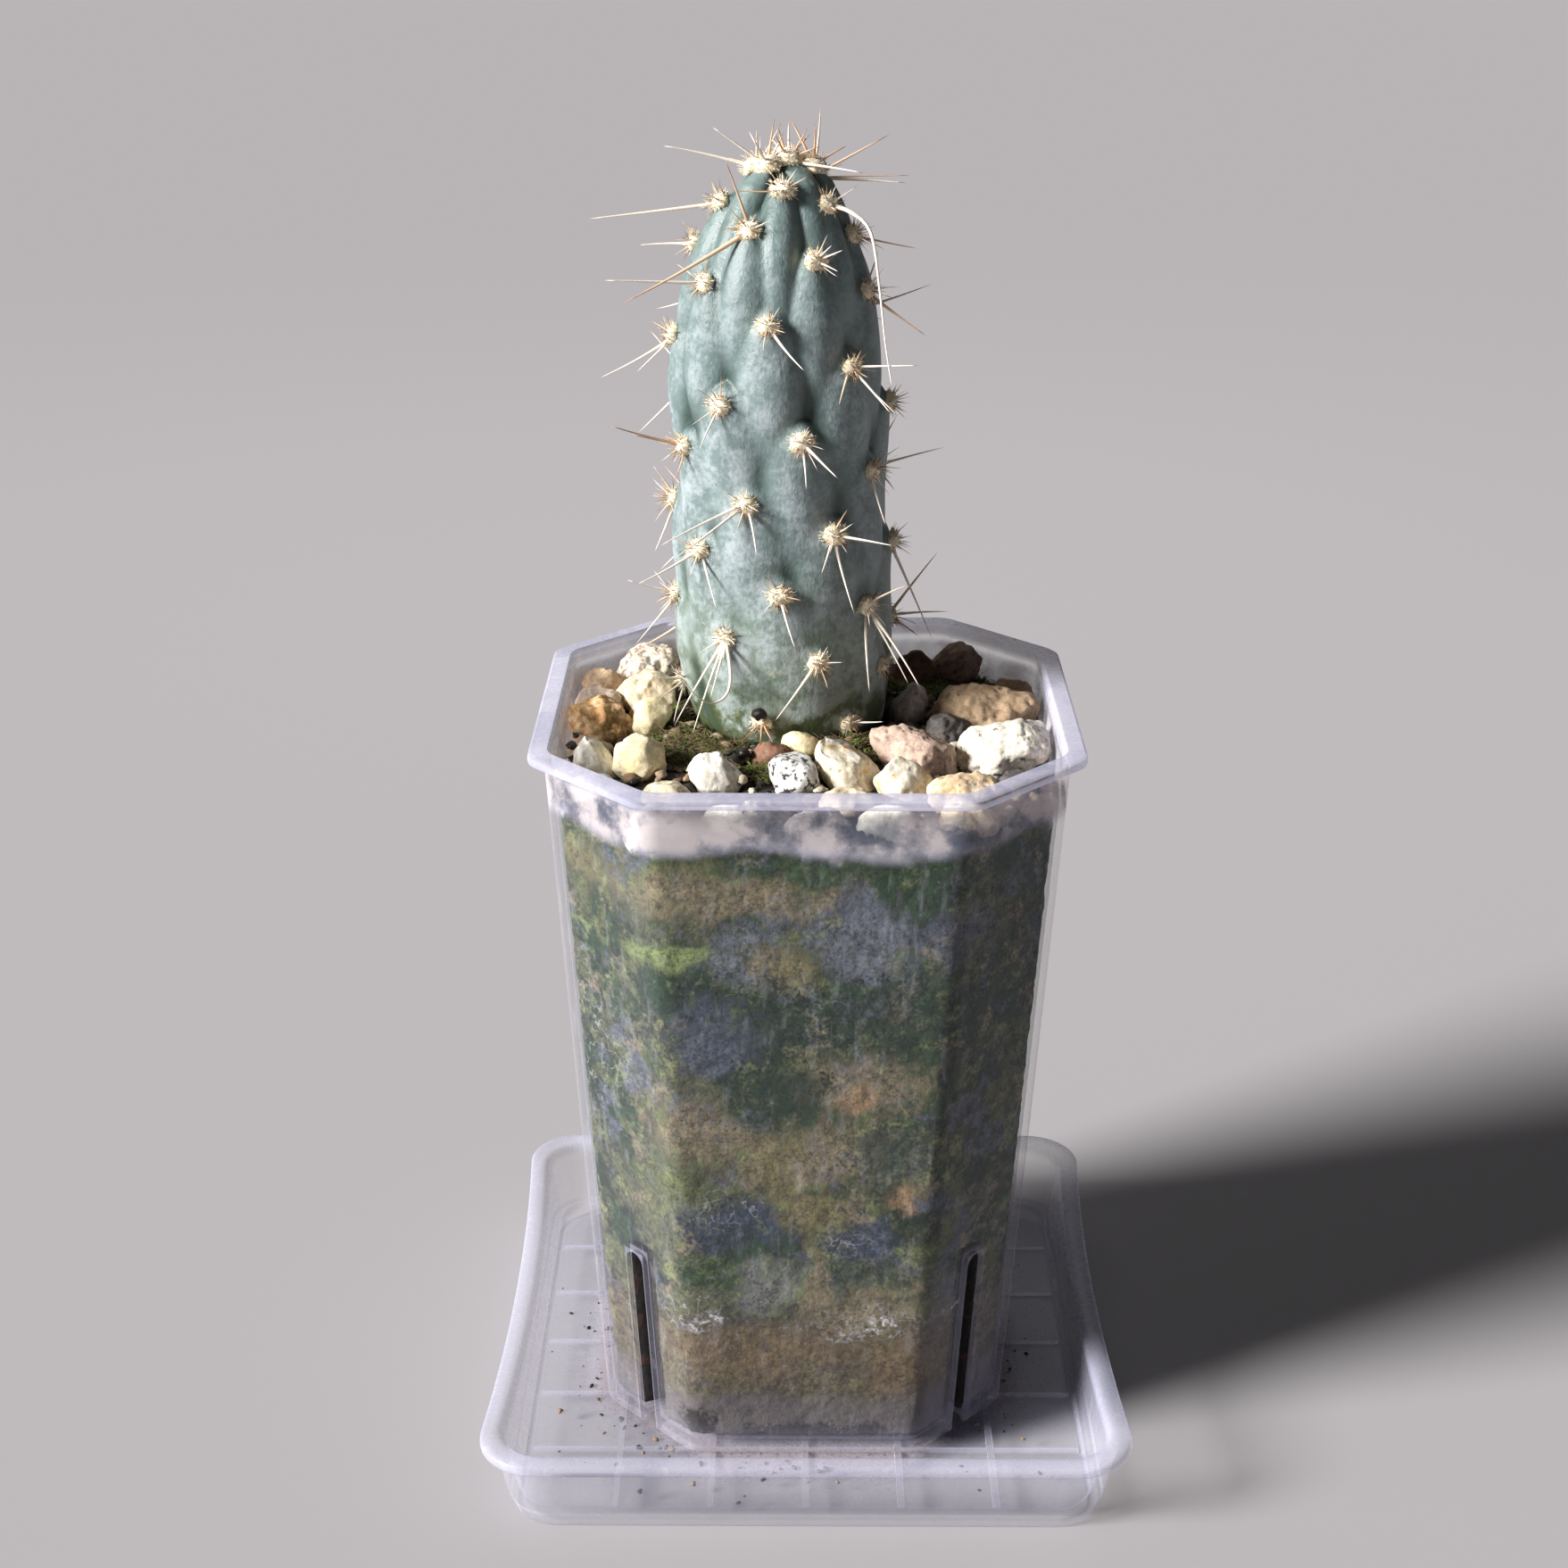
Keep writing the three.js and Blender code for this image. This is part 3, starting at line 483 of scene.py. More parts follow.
def make_pot():
    neck = POT_TOP - RIM_HEIGHT
    neck_half, neck_cut = pot_size(neck)
    heel_half, heel_cut = pot_size(POT_BASE)
    floor_half, floor_cut = pot_size(POT_FLOOR_TOP, WALL)
    under = POT_BASE + 0.5
    profile = [
        level_at(under, WALL + 0.2), (heel_half - WALL, heel_cut - 0.5, POT_BASE),
        (heel_half - 0.3, heel_cut - 0.1, POT_BASE),
        *[level_at(height) for height in (under, 20, 40, 60, 80, neck - 0.8)],
        (neck_half + 0.25, neck_cut, neck), (RIM_HALF - 0.5, RIM_CUT, neck + 0.02),
        (RIM_HALF - 0.08, RIM_CUT, neck + 0.25), (RIM_HALF, RIM_CUT, neck + 0.7),
        (RIM_HALF - 0.08, RIM_CUT, POT_TOP - 0.3), (RIM_HALF - 0.5, RIM_CUT - 0.1, POT_TOP),
        (neck_half - 0.4, neck_cut, POT_TOP), (neck_half - WALL, neck_cut - 0.5, POT_TOP - 0.45),
        *[level_at(height, WALL) for height in (neck - 1.5, 80, 60, 40, 20, POT_FLOOR_TOP + 0.8)],
        (floor_half - 0.5, floor_cut - 0.3, POT_FLOOR_TOP),
    ]
    rings = [pot_ring(level) for level in profile]
    pot = mesh_piece("pot_shell", *loft(rings, (*POT_MIDDLE, under), (*POT_MIDDLE, POT_FLOOR_TOP)))
    wall_half, wall_cut = pot_size(SLOT_TOP)
    corner_out = (2 * wall_half - wall_cut) / math.sqrt(2)
    arch_steps = 12
    drain_sides = 40
    slot_half = SLOT_WIDTH / 2
    outline = [(-slot_half, 0), (slot_half, 0)]
    for angle in np.linspace(0, math.pi, arch_steps + 1):
        outline.append((slot_half * math.cos(angle), SLOT_TOP - slot_half + slot_half * math.sin(angle)))
    middle = Vector((*POT_MIDDLE, 0))
    for corner in range(4):
        turn = Matrix.Rotation(math.pi / 4 + corner * math.pi / 2, 3, "Z")
        cut_through(pot, [
            np.array([turn @ Vector((out, side, up)) + middle for side, up in outline])
            for out in (corner_out - 10, corner_out + 3)
        ])
    angles = np.linspace(0, 2 * math.pi, drain_sides, endpoint=False)
    x, y = POT_MIDDLE[0] + DRAIN_RADIUS * np.cos(angles), POT_MIDDLE[1] + DRAIN_RADIUS * np.sin(angles)
    cut_through(pot, [
        np.stack([x, y, np.full(drain_sides, height)], 1) for height in (POT_BASE - 1, POT_FLOOR_TOP + 1)
    ])
    pot.data.shade_smooth()
    even_shading(pot, 40)
    return pot


def pot_material():
    """Denser and whiter at the rim, dusty at the foot, with a line of dried minerals low on the wall."""
    material, finish, shader = new_material("pot_plastic")
    place = finish.place()
    height = finish.parts(place)[2]
    haze = finish.group(milky_haze, Place=place, Tint=PLASTIC_TINT, Cloud=0.007, Marks=0.7)
    rim = height.rise(99.8 * MM, 100.5 * MM, 0, 0.36)
    wander = (finish.cloud(place, 14, 3) - 0.5) * (16 * MM)
    smoke = finish.cloud(place, 7, 5, 0.6)
    neck = (height + wander * 0.35).rise(92.6 * MM, 95.2 * MM)
    neck = neck * height.rise(99.8 * MM, 98.6 * MM, 0.25, 1)
    mist = neck * smoke.rise(0.36, 0.6, 0.30, 0.60)
    line_at = height + wander
    below = line_at.rise(22.6 * MM, 23.6 * MM)
    above = line_at.rise(25.4 * MM, 24.0 * MM)
    broken = finish.cloud(place, 1.1, 5, 0.75).rise(0.5, 0.62)
    some = finish.cloud(place, 11, 2).rise(0.5, 0.62)
    scale = below * above * broken * some
    foot = height.rise(9 * MM, 3 * MM, 0, 0.07)
    across, along_y = from_pot_middle(finish, place)
    aside = abs(across - along_y)
    reach = SLOT_WIDTH * MM / math.sqrt(2)
    lip = aside.rise(reach * 1.14, reach * 1.06, 0, 0.16)
    lip = lip * height.rise((SLOT_TOP + 0.5) * MM, (SLOT_TOP + 0.1) * MM)
    foot = foot + lip * (across + along_y).rise(36 * MM, 38 * MM)
    alpha = haze["Alpha"] + rim + mist + foot
    alpha = alpha + scale * 0.6
    # Under the rim the haze is painted pale pink-grey where stones press on the wall and dark blue-grey as
    # painted shade between them.
    stones_and_shade_haze = finish.blend(smoke.rise(0.42, 0.56), (0.19, 0.21, 0.28), (0.66, 0.60, 0.62))
    colour = finish.blend(neck, haze["Color"], stones_and_shade_haze)
    finish.feed(shader.inputs["Base Color"], finish.blend(scale, colour, (0.86, 0.83, 0.76)))
    clear_plastic(finish, shader, alpha, haze["Roughness"], haze["Height"])
    return material


place_piece(make_pot(), pot_material(), "clear_plastic", "pot")

# Substrate: mineral grit and humus, pressed against the wall. Algae, dried minerals and washed-in
# clay colour it there, with painted shade in the slots, on the right corner face and under the rim.
# It is poured in round the roots and has sunk a few millimetres below the rim.
SOIL_LEVEL = 95.2
SOIL_VOXEL = 0.8
# Where the slots' middle line would lie in x at the ground and 100 mm up, as the front looks in
SLOT_LOW_X = 21.32
SLOT_HIGH_X = 26.38
# How rough its top is, and how far it has washed back from the slots
TOP_RELIEF = 0.55
WASHED_BACK = 3.4
# What lies against the wall, by its colour there
WALL_TINTS = {
    "algae": (0.018, 0.046, 0.014),
    "old_algae_and_shade": (0.009, 0.026, 0.014),
    "moss": (0.19, 0.24, 0.085),
    "dry_moss": (0.085, 0.095, 0.034),
    "clay": (0.18, 0.145, 0.09),
    "ochre": (0.15, 0.125, 0.055),
    "rust": (0.26, 0.165, 0.085),
    "slate": (0.064, 0.074, 0.108),
    "pale_slate": (0.112, 0.122, 0.155),
    "basalt": (0.031, 0.041, 0.075),
    "limestone": (0.16, 0.16, 0.155),
    "damp_silt_and_shade": (0.028, 0.040, 0.030),
    "humus": (0.13, 0.088, 0.047),
}
# Films and flat grains at the wall: kind, middle in x and z, half width, half height
WALL_PATCHES = [
    ("algae", 5, 91.5, 20, 3.4), ("dry_moss", -16, 90, 8, 2.0), ("clay", -12, 87, 14, 3.2),
    ("pale_slate", 7.5, 80.5, 6.4, 5.8), ("slate", 18.5, 81, 5, 4.6), ("moss", -17, 79, 5.5, 1.8),
    ("pale_slate", -8, 79, 6.5, 4.2), ("ochre", -3, 77, 4.5, 3.4), ("old_algae_and_shade", -10, 70, 14, 6),
    ("old_algae_and_shade", 11, 70.5, 13, 5.4), ("slate", -12, 67, 5.5, 6), ("clay", 7.5, 60.5, 9, 4.8),
    ("rust", 6.5, 58.8, 3.2, 1.8), ("clay", -13.5, 53, 7, 4.6), ("old_algae_and_shade", -4, 58, 6, 6),
    ("ochre", -3.5, 48, 4.6, 5.6), ("dry_moss", -17, 44, 5, 4), ("clay", 3, 50, 6.5, 5),
    ("damp_silt_and_shade", 11, 50, 5.5, 4.4), ("basalt", -8.5, 39, 8, 4.6), ("ochre", 1, 41, 5, 3.4),
    ("basalt", 7, 36.5, 5, 4), ("rust", 12.5, 43.5, 1.8, 2.4), ("algae", -10, 31, 8, 4),
    ("limestone", -5, 29, 5, 4.4), ("clay", 0.8, 30, 1.8, 6.5), ("damp_silt_and_shade", 7.5, 29.5, 5, 3),
    ("clay", 9, 24.5, 8.5, 4), ("humus", -6, 19, 14, 4.2), ("humus", 14, 15.5, 7, 6),
    ("old_algae_and_shade", -31, 66, 5, 8), ("damp_silt_and_shade", -30, 47, 5, 8), ("ochre", -31, 88, 6, 4),
    # The two tall dark films on the right corner face are partly real algae and silt and partly painted shade
    # of that face.
    ("old_algae_and_shade", 30, 72, 8, 22), ("damp_silt_and_shade", 30, 42, 8, 14),
]
# Dark crumbs that have sunk to the pot's foot: middle in x and z, half width, half height
WALL_CRUMBS = [(-14.8, 6.4, 2.6, 2.6), (-1.5, 5.2, 8, 1.6), (8.5, 5.4, 3, 1.4)]
# Where drops and worm trails left thin pale lines: middle in x and z, half width, half height
WALL_TRAILS = [
    (-9.5, 42.5, 4.5, 5.5), (5.5, 36, 3, 3), (-31, 62, 8, 16), (9, 22.5, 9, 3.2), (-16, 24, 6, 2.4),
]
# How deep behind the wall each kind reaches: middle in y, half depth
PATCH_DEPTH = (-31, 16)
TRAIL_DEPTH = (-28, 16)
CRUMB_DEPTH = (-29, 14)


def make_soil_grain():
    """Crumbs of grit and humus: pale and dark grains over a brown ground."""
    tree, finish, given, wanted = shared_group(
        "soil_grain",
        {"Place": "Vector", "Ground": "Color", "Dark": "Color", "Pale": "Color"},
        {"Color": "Color", "Height": "Float"},
    )
    place = given["Place"]
    coarse = finish.cloud(place, 2.2, 6, 0.7)
    fine = finish.cloud(place, 0.45, 4, 0.7)
    grain = finish.cells(place, 1.2)
    mixed = coarse * 0.6 + fine * 0.4
    colour = finish.blend(mixed.rise(0.38, 0.62), given["Dark"], given["Ground"])
    pale = grain.rise(0.34, 0.18) * fine.rise(0.5, 0.62)
    finish.feed(wanted["Color"], finish.blend(pale, colour, given["Pale"]))
    finish.feed(wanted["Height"], mixed + grain * -0.4)
    return tree


def make_wall_film():
    """The share of a film or a flat grain at a place: whole in its middle, ragged at its edge."""
    tree, finish, given, wanted = shared_group(
        "wall_film", {"Place": "Vector", "Ragged": "Float", "Middle": "Vector", "Half": "Vector"},
        {"Share": "Float"},
    )
    offset = (given["Place"] - given["Middle"]) / given["Half"]
    reach = finish.reckon("LENGTH", offset, output=1)
    finish.feed(wanted["Share"], (reach + given["Ragged"]).rise(1.28, 0.62))
    return tree


soil_grain = make_soil_grain()
wall_film = make_wall_film()


def film_share(finish, place, ragged, spot, depth):
    """How much of one film covers a place."""
    middle_x, middle_z, half_x, half_z = spot
    middle, half = (middle_x * MM, depth[0] * MM, middle_z * MM), (half_x * MM, depth[1] * MM, half_z * MM)
    return finish.group(wall_film, Place=place, Ragged=ragged, Middle=middle, Half=half)["Share"]


def soil_material():
    material, finish, shader = new_material("soil_body")
    place = finish.place()
    x, y, height = finish.parts(place)
    grain = finish.group(soil_grain, Place=place, Ground=(0.055, 0.042, 0.026),
                         Dark=(0.008, 0.006, 0.005), Pale=(0.26, 0.22, 0.16))
    swirl = finish.add("TexNoise", "Color", Vector=place, Scale=1 / (7 * MM), Detail=4.0, Roughness=0.6)
    bent = place + (swirl - (0.5, 0.5, 0.5)) * (9 * MM, 9 * MM, 9 * MM)
    fine = finish.cloud(place, 0.5, 3, 0.75)
    torn = finish.cloud(place, 1.7, 5, 0.7)
    ragged = fine * 1.5 + torn * 2.2 - 1.85
    broad = finish.cloud(bent, 12, 3) + ragged * 0.05
    colour = finish.blend(broad.rise(0.40, 0.60), (0.009, 0.020, 0.010), (0.075, 0.080, 0.045))
    marbling = [
        (8, 0.46, 0.61, (0.012, 0.034, 0.013), 0.9), (6, 0.50, 0.64, (0.085, 0.095, 0.04), 0.8),
        (7, 0.53, 0.65, (0.075, 0.085, 0.115), 0.8), (5.5, 0.56, 0.68, (0.16, 0.13, 0.09), 0.75),
        (4, 0.57, 0.70, (0.14, 0.16, 0.065), 0.7),
    ]
    for number, (size, low, high, tint, share) in enumerate(marbling):
        shifted = bent + (0.031 * (number + 1), 0.017 * number, 0.023 * number)
        cloud = finish.cloud(shifted, size, 2) + ragged * 0.06
        colour = finish.blend(cloud.rise(low, high, 0, share), colour, tint)
    brown_band = height.rise(28 * MM, 19 * MM) * height.rise(8 * MM, 13 * MM)
    colour = finish.blend(brown_band * 0.6, colour, (0.11, 0.078, 0.046))
    worn = finish.cloud(bent, 1.3, 5, 0.7).rise(0.40, 0.56, 0.42, 0.92)
    for kind, *spot in WALL_PATCHES:
        share = film_share(finish, bent, ragged, spot, PATCH_DEPTH)
        colour = finish.blend(share * worn, colour, WALL_TINTS[kind])
    wander = (finish.cloud(place, 12, 4) - 0.5) * (14 * MM)
    level = height + wander
    grains = fine * 0.5 + torn * 0.5
    colour = finish.shaded(colour, grains.rise(0.30, 0.68, 0.3, 1.8))
    line = abs(finish.cloud(place, 2.4, 2) - 0.5).rise(0.026, 0.006)
    faint = torn.rise(0.38, 0.58, 0, 0.62)
    for spot in WALL_TRAILS:
        share = film_share(finish, bent, 0.0, spot, TRAIL_DEPTH)
        colour = finish.blend(share * line * faint, colour, (0.36, 0.38, 0.40))
    grey = (height + wander * 0.5).rise(13 * MM, 9.5 * MM)
    ash = finish.blend(finish.cloud(place, 5, 5, 0.6), (0.085, 0.072, 0.075), (0.17, 0.145, 0.155))
    colour = finish.blend(grey * 0.8, colour, ash)
    for spot in WALL_CRUMBS:
        share = film_share(finish, place, ragged, spot, CRUMB_DEPTH)
        colour = finish.blend(share * 0.9, colour, (0.012, 0.009, 0.008))
    inside = finish.reckon("MAXIMUM", abs(x), abs(y - POT_MIDDLE[1] * MM)).rise(31 * MM, 29.5 * MM)
    on_top = height.rise(92 * MM, 94 * MM) * inside
    colour = finish.blend(on_top, colour, grain["Color"])
    # Under the rim the wall band is painted pale lavender for the stones pressed there, with bluish painted
    # shade between them.
    pale = level.rise(92.8 * MM, 94.2 * MM) * (1.0 - inside)
    pale_stones_and_shade = finish.blend(finish.cloud(place, 5, 3).rise(0.42, 0.6), (0.10, 0.11, 0.16), (0.52, 0.48, 0.52))
    colour = finish.blend(pale, colour, pale_stones_and_shade)
    # Painted shade: inside each slot the soil behind the opening is painted near black, mottled with dark
    # red-brown.
    slot_at = height.rise(0, 100 * MM, SLOT_LOW_X * MM, SLOT_HIGH_X * MM)
    opened = SLOT_WIDTH * MM / math.sqrt(8)
    hollow = abs(abs(x - POT_MIDDLE[0] * MM) - slot_at).rise(opened * 1.15, opened * 0.95)
    hollow = hollow * height.rise((SLOT_TOP + 0.4) * MM, SLOT_TOP * MM)
    slot_shade = finish.cloud(place, 2.4, 4).rise(0.54, 0.64)
    slot_shade = finish.blend(slot_shade, (0.005, 0.003, 0.003), (0.040, 0.012, 0.008))
    colour = finish.blend(hollow * 0.97, colour, slot_shade)
    finish.feed(shader.inputs["Base Color"], colour)
    finish.feed(shader.inputs["Roughness"], grain["Height"].rise(0.2, 0.7, 0.95, 0.75))
    finish.feed(shader.inputs["Normal"], finish.bump(grain["Height"], 0.6, 0.5))
    return material


def even_copy(node, name, voxel):
    """A piece with the form of one of the part's nodes, in even faces about voxel millimetres across."""
    piece = bpy.data.objects.new(name, frame["nodes"][node].data.copy())
    bpy.context.scene.collection.objects.link(piece)
    change = piece.modifiers.new("even", "REMESH")
    change.mode = "VOXEL"
    change.voxel_size = voxel * MM
    settle(piece)
    return piece


def read_points(piece):
    """The piece's points and normals, in millimetres, as arrays."""
    found = []
    for label in ("co", "normal"):
        values = np.empty(len(piece.data.vertices) * 3, np.float32)
        piece.data.vertices.foreach_get(label, values)
        found.append(values.reshape(-1, 3).astype(float))
    return found[0] / MM, found[1]


def write_points(piece, points):
    piece.data.vertices.foreach_set("co", (points * MM).astype(np.float32).ravel())
    piece.data.update()
    piece.data.shade_smooth()


def lumps(points, size, octaves=4, seed=0.0):
    """Noise from about -1 to 1 at each point, with lumps about size millimetres across."""
    shift = Vector((seed, seed * 1.7, -seed * 0.6))
    return np.array([noise.fractal(Vector(point) / size + shift, 0.9, 2.1, octaves) for point in points])


def slot_hollow(points):
    """1 in the soil just inside a slot, where it has washed back from the wall, and 0 elsewhere."""
    half, cut = pot_size(points[:, 2])
    x, y = np.abs(points[:, 0] - POT_MIDDLE[0]), np.abs(points[:, 1] - POT_MIDDLE[1])
    depth, aside = (2 * half - cut - x - y) / math.sqrt(2), np.abs(x - y) / math.sqrt(2)
    narrow = np.clip((SLOT_WIDTH / 2 + 0.4 - aside) / 0.8, 0, 1)
    return narrow * np.clip((SLOT_TOP + 0.8 - points[:, 2]) / 0.8, 0, 1) * (depth < 8)


def make_soil():
    soil = even_copy("substrate", "soil_body", SOIL_VOXEL)
    points, normals = read_points(soil)
    hollow = slot_hollow(points)
    inward = points - np.array([*POT_MIDDLE, 0])
    inward[:, 2] = 0
    inward /= np.maximum(np.linalg.norm(inward, axis=1), 1)[:, None]
    top = np.clip((points[:, 2] - 90) / 3, 0, 1) * np.clip(normals[:, 2] * 2, 0, 1)
    crumb = lumps(points, 2.4, 5)
    push = top * crumb * TOP_RELIEF - (1 - top) * (0.12 + 0.35 * np.abs(crumb))
    washed = hollow * (WASHED_BACK + 0.9 * crumb)
    write_points(soil, points + normals * push[:, None] - inward * washed[:, None])
    return soil


place_piece(make_soil(), soil_material(), "soil", "substrate")

# Stem: one upright joint of blue-green flesh under a waxy bloom. It bears low tubercles in spirals,
# and each runs down from its areole, so pleats with sharp creases between them cover its top.
STEM_Y = 11.5
STEM_AXIS_X = [(76, -1.8), (97, -2.4), (106, -3.2), (126, -3.7), (145, -4.1), (160, -4.1), (170.3, -3.3)]
STEM_RADIUS = [
    (76, 0), (78, 3.2), (83, 6.4), (89, 9.8), (94, 12.3), (97.2, 13.2), (101, 13.9), (106, 14.6),
    (116, 14.4), (121, 14.6), (128.5, 14), (138, 14.4), (143, 14.3), (147.5, 13.7), (152, 12.9),
    (156.5, 11.7), (161, 9.9), (165, 7.8), (167.6, 6.2), (169.2, 4.1), (170, 2), (170.3, 0),
]
FURROW_DEPTH = [(88, 0), (97, 0.8), (115, 1.6), (138, 2.3), (150, 3.4), (163, 3.6), (168, 2.3), (170.3, 0.2)]
# The profile turns softly between these heights and runs straight from point to point past them
SOFT_FROM = 79
CROWN_FROM = 165
CREASE_SHARPNESS = [(97, 3), (125, 4), (140, 6), (150, 10), (170, 14)]
# A tubercle's width and height by how far above its areole a place is
PLEAT_WIDTH = [
    (-27, 0.05), (-22, 0.4), (-16, 0.8), (-10, 1), (-6, 1.02), (-3, 0.93), (0, 0.72), (2, 0.45), (3.6, 0.1),
]
PLEAT_HEIGHT = [
    (-27, -0.5), (-22, 0.05), (-18, 0.42), (-13, 0.78), (-8, 0.97), (-3, 1), (0, 0.93), (2, 0.62),
    (3.6, -0.1),
]
GOLDEN_ANGLE = 137.5
FIRST_TURN = 4.2
CROWN_AREOLES = 6
CROWN_SPREAD = 0.95
# Where the areoles on the front stand off the spiral rule: height, and turn from the front
FRONT_AREOLES = {
    0: (167.3, 0), 2: (164.9, -86), 3: (165.2, 51), 5: (162.7, -25), 6: (161.2, 78), 7: (159.6, -92),
    8: (159.1, 27), 10: (155.9, -52), 11: (154.6, 68), 13: (151.6, -5), 15: (148.1, -86), 16: (146, 43),
    18: (141.6, -31), 19: (139.4, 88), 21: (137.3, 12), 23: (135.1, -60), 24: (132.2, 58), 26: (129.1, -18),
    28: (126.4, -89), 29: (124.8, 29), 31: (122.2, -47), 32: (120.8, 87), 34: (117.3, -1), 36: (113.9, -80),
    37: (114.4, 50), 39: (111, -31), 42: (108.1, 18), 44: (101.6, -82), 45: (105.3, 63), 47: (99.6, -15),
    50: (98.7, 36),
}
LAST_AREOLE = 48


def along(points, place):
    """The value at a place on a smooth curve through points (place, value)."""
    places, values = np.array(points, float).T
    slopes = np.gradient(values, places)
    i = np.clip(np.searchsorted(places, place) - 1, 0, len(places) - 2)
    width = places[i + 1] - places[i]
    t = np.clip((place - places[i]) / width, 0, 1)
    ease = t * t * (3 - 2 * t)
    lean = width * t * (1 - t) * (slopes[i] * (1 - t) - slopes[i + 1] * t)
    return values[i] * (1 - ease) + values[i + 1] * ease + lean


def stem_radius(height):
    heights, radii = np.array(STEM_RADIUS, float).T
    smooth = along(STEM_RADIUS[1:-3], height)
    return np.where((height < SOFT_FROM) | (height > CROWN_FROM), np.interp(height, heights, radii), smooth)


def crown_height(radius):
    crown = sorted((r, height) for height, r in STEM_RADIUS if height >= CROWN_FROM)
    return float(np.interp(radius, *np.array(crown).T))


def areole_spot(number):
    """An areole's height and its turn from the front, in radians."""
    if number in FRONT_AREOLES:
        height, turn = FRONT_AREOLES[number]
    else:
        turn = FIRST_TURN + GOLDEN_ANGLE * number
        height = 168.4 - 1.12 * number - 0.02 * number ** 2 + 0.00027 * number ** 3
        if number < 0:
            height = crown_height(CROWN_SPREAD * (number + CROWN_AREOLES))
    return height, math.radians(turn)


areole_spots = {number: areole_spot(number) for number in [*range(1 - CROWN_AREOLES, LAST_AREOLE + 1), 50]}


def tubercle(turn, height):
    """How far up a tubercle's back the skin is: 0 down in a furrow, 1 on the back."""
    radius = stem_radius(height)
    sharpness = along(CREASE_SHARPNESS, height)
    half_width = np.minimum(6.0, 1.0 + radius * 0.36)
    shrink = np.clip(0.5 + 0.5 * (radius - 4) / 9, 0.4, 1.0)
    top, bottom = PLEAT_WIDTH[-1][0], PLEAT_WIDTH[0][0]
    total = np.zeros_like(radius)
    for spot_height, spot_turn in areole_spots.values():
        rise = (height - spot_height) / shrink
        swing = (turn - spot_turn) / (2 * math.pi)
        swing = (swing - np.round(swing)) * 2 * math.pi
        across = swing * radius / (half_width * along(PLEAT_WIDTH, rise))
        back = along(PLEAT_HEIGHT, rise) - 0.75 * across ** 2
        back = np.where((rise > top) | (rise < bottom), 0, np.maximum(back, 0))
        total += back ** sharpness
    return np.minimum(1.0, total ** (1 / sharpness))


def skin_radius(turn, height):
    return stem_radius(height) - along(FURROW_DEPTH, height) * (1 - tubercle(turn, height))


def stem_point(radius, turn, height):
    x = np.interp(height, *np.array(STEM_AXIS_X, float).T) + radius * np.sin(turn)
    return np.stack([x, STEM_Y - radius * np.cos(turn), height + 0 * turn], -1)


def make_skin():
    sides = 224
    top = STEM_RADIUS[-1][0]
    heights = np.concatenate([
        np.linspace(77, 95.5, 12), np.linspace(96, 160, 200),
        160 + (top - 0.02 - 160) * np.sin(np.linspace(0, math.pi / 2, 62))[1:],
    ])
    turns = np.linspace(0, 2 * math.pi, sides, endpoint=False)
    height, turn = np.meshgrid(heights, turns, indexing="ij")
    back = tubercle(turn, height)
    rings = stem_point(skin_radius(turn, height), turn, height)
    points, faces = loft(list(rings), stem_point(0, 0.0, 76.0), stem_point(0, 0.0, top))
    skin = mesh_piece("cactus_skin", points, faces)
    keep_values(skin, "fold", np.append(back.ravel(), [1.0, 1.0]))
    return skin


def skin_material():
    """Blue-green flesh with a mottled whitish bloom, bare in the creases and painted dark there as shade, and
    greener near the soil.
    """
    material, finish, shader = new_material("cactus_skin")
    place = finish.place()
    height = finish.parts(place)[2]
    fold = finish.kept("fold")
    broad = finish.cloud(place, 9, 4, 0.6)
    blotch = finish.cloud(place, 3.2, 6, 0.65, 0.3)
    fine = finish.cloud(place, 0.7, 4, 0.6)
    flesh = finish.blend(broad.rise(0.35, 0.65), (0.095, 0.150, 0.142), (0.135, 0.195, 0.185))
    low = height + (blotch - 0.5) * (26 * MM)
    old = low.rise(124 * MM, 102 * MM, 0, 0.85)
    aged = finish.blend(blotch.rise(0.4, 0.62), (0.105, 0.15, 0.085), (0.24, 0.29, 0.19))
    flesh = finish.blend(old, flesh, aged)
    bloom = blotch * 0.65 + fine * 0.35
    bloom = bloom.rise(0.40, 0.64, 0.18, 0.88)
    bloom = bloom * fold.rise(0.45, 0.95, 0.2, 1.0)
    bloom = bloom * height.rise(166 * MM, 140 * MM, 0.28, 1.0)
    colour = finish.blend(bloom, flesh, (0.40, 0.455, 0.485))
    # Painted shade: the creases between the tubercles are darkened to a near-black green.
    crease_shade = fold.rise(0.72, 0.3, 0, 0.85)
    colour = finish.blend(crease_shade, colour, (0.022, 0.045, 0.038))
    scar = finish.cells(place, 4.2).rise(0.13, 0.08) * low.rise(132 * MM, 112 * MM, 0, 0.5)
    colour = finish.blend(scar, colour, (0.36, 0.37, 0.27))
    moss_line = low.rise(101 * MM, 97.5 * MM, 0, 0.8)
    colour = finish.blend(moss_line, colour, (0.065, 0.085, 0.02))
    finish.feed(shader.inputs["Base Color"], colour)
    finish.feed(shader.inputs["Roughness"], bloom.rise(0.1, 0.6, 0.42, 0.62))
    wrinkle = finish.cloud(place * (1, 1, 0.45), 0.9, 5, 0.65)
    finish.feed(shader.inputs["Normal"], finish.bump(wrinkle + fine * 0.5, 0.45, 0.35))
    shader.inputs["Subsurface Weight"].default_value = 0.12
    shader.inputs["Subsurface Radius"].default_value = (0.0008, 0.0012, 0.0006)
    shader.inputs["Subsurface Scale"].default_value = 1.0
    return material


place_piece(make_skin(), skin_material(), "cactus_skin", "cactus")

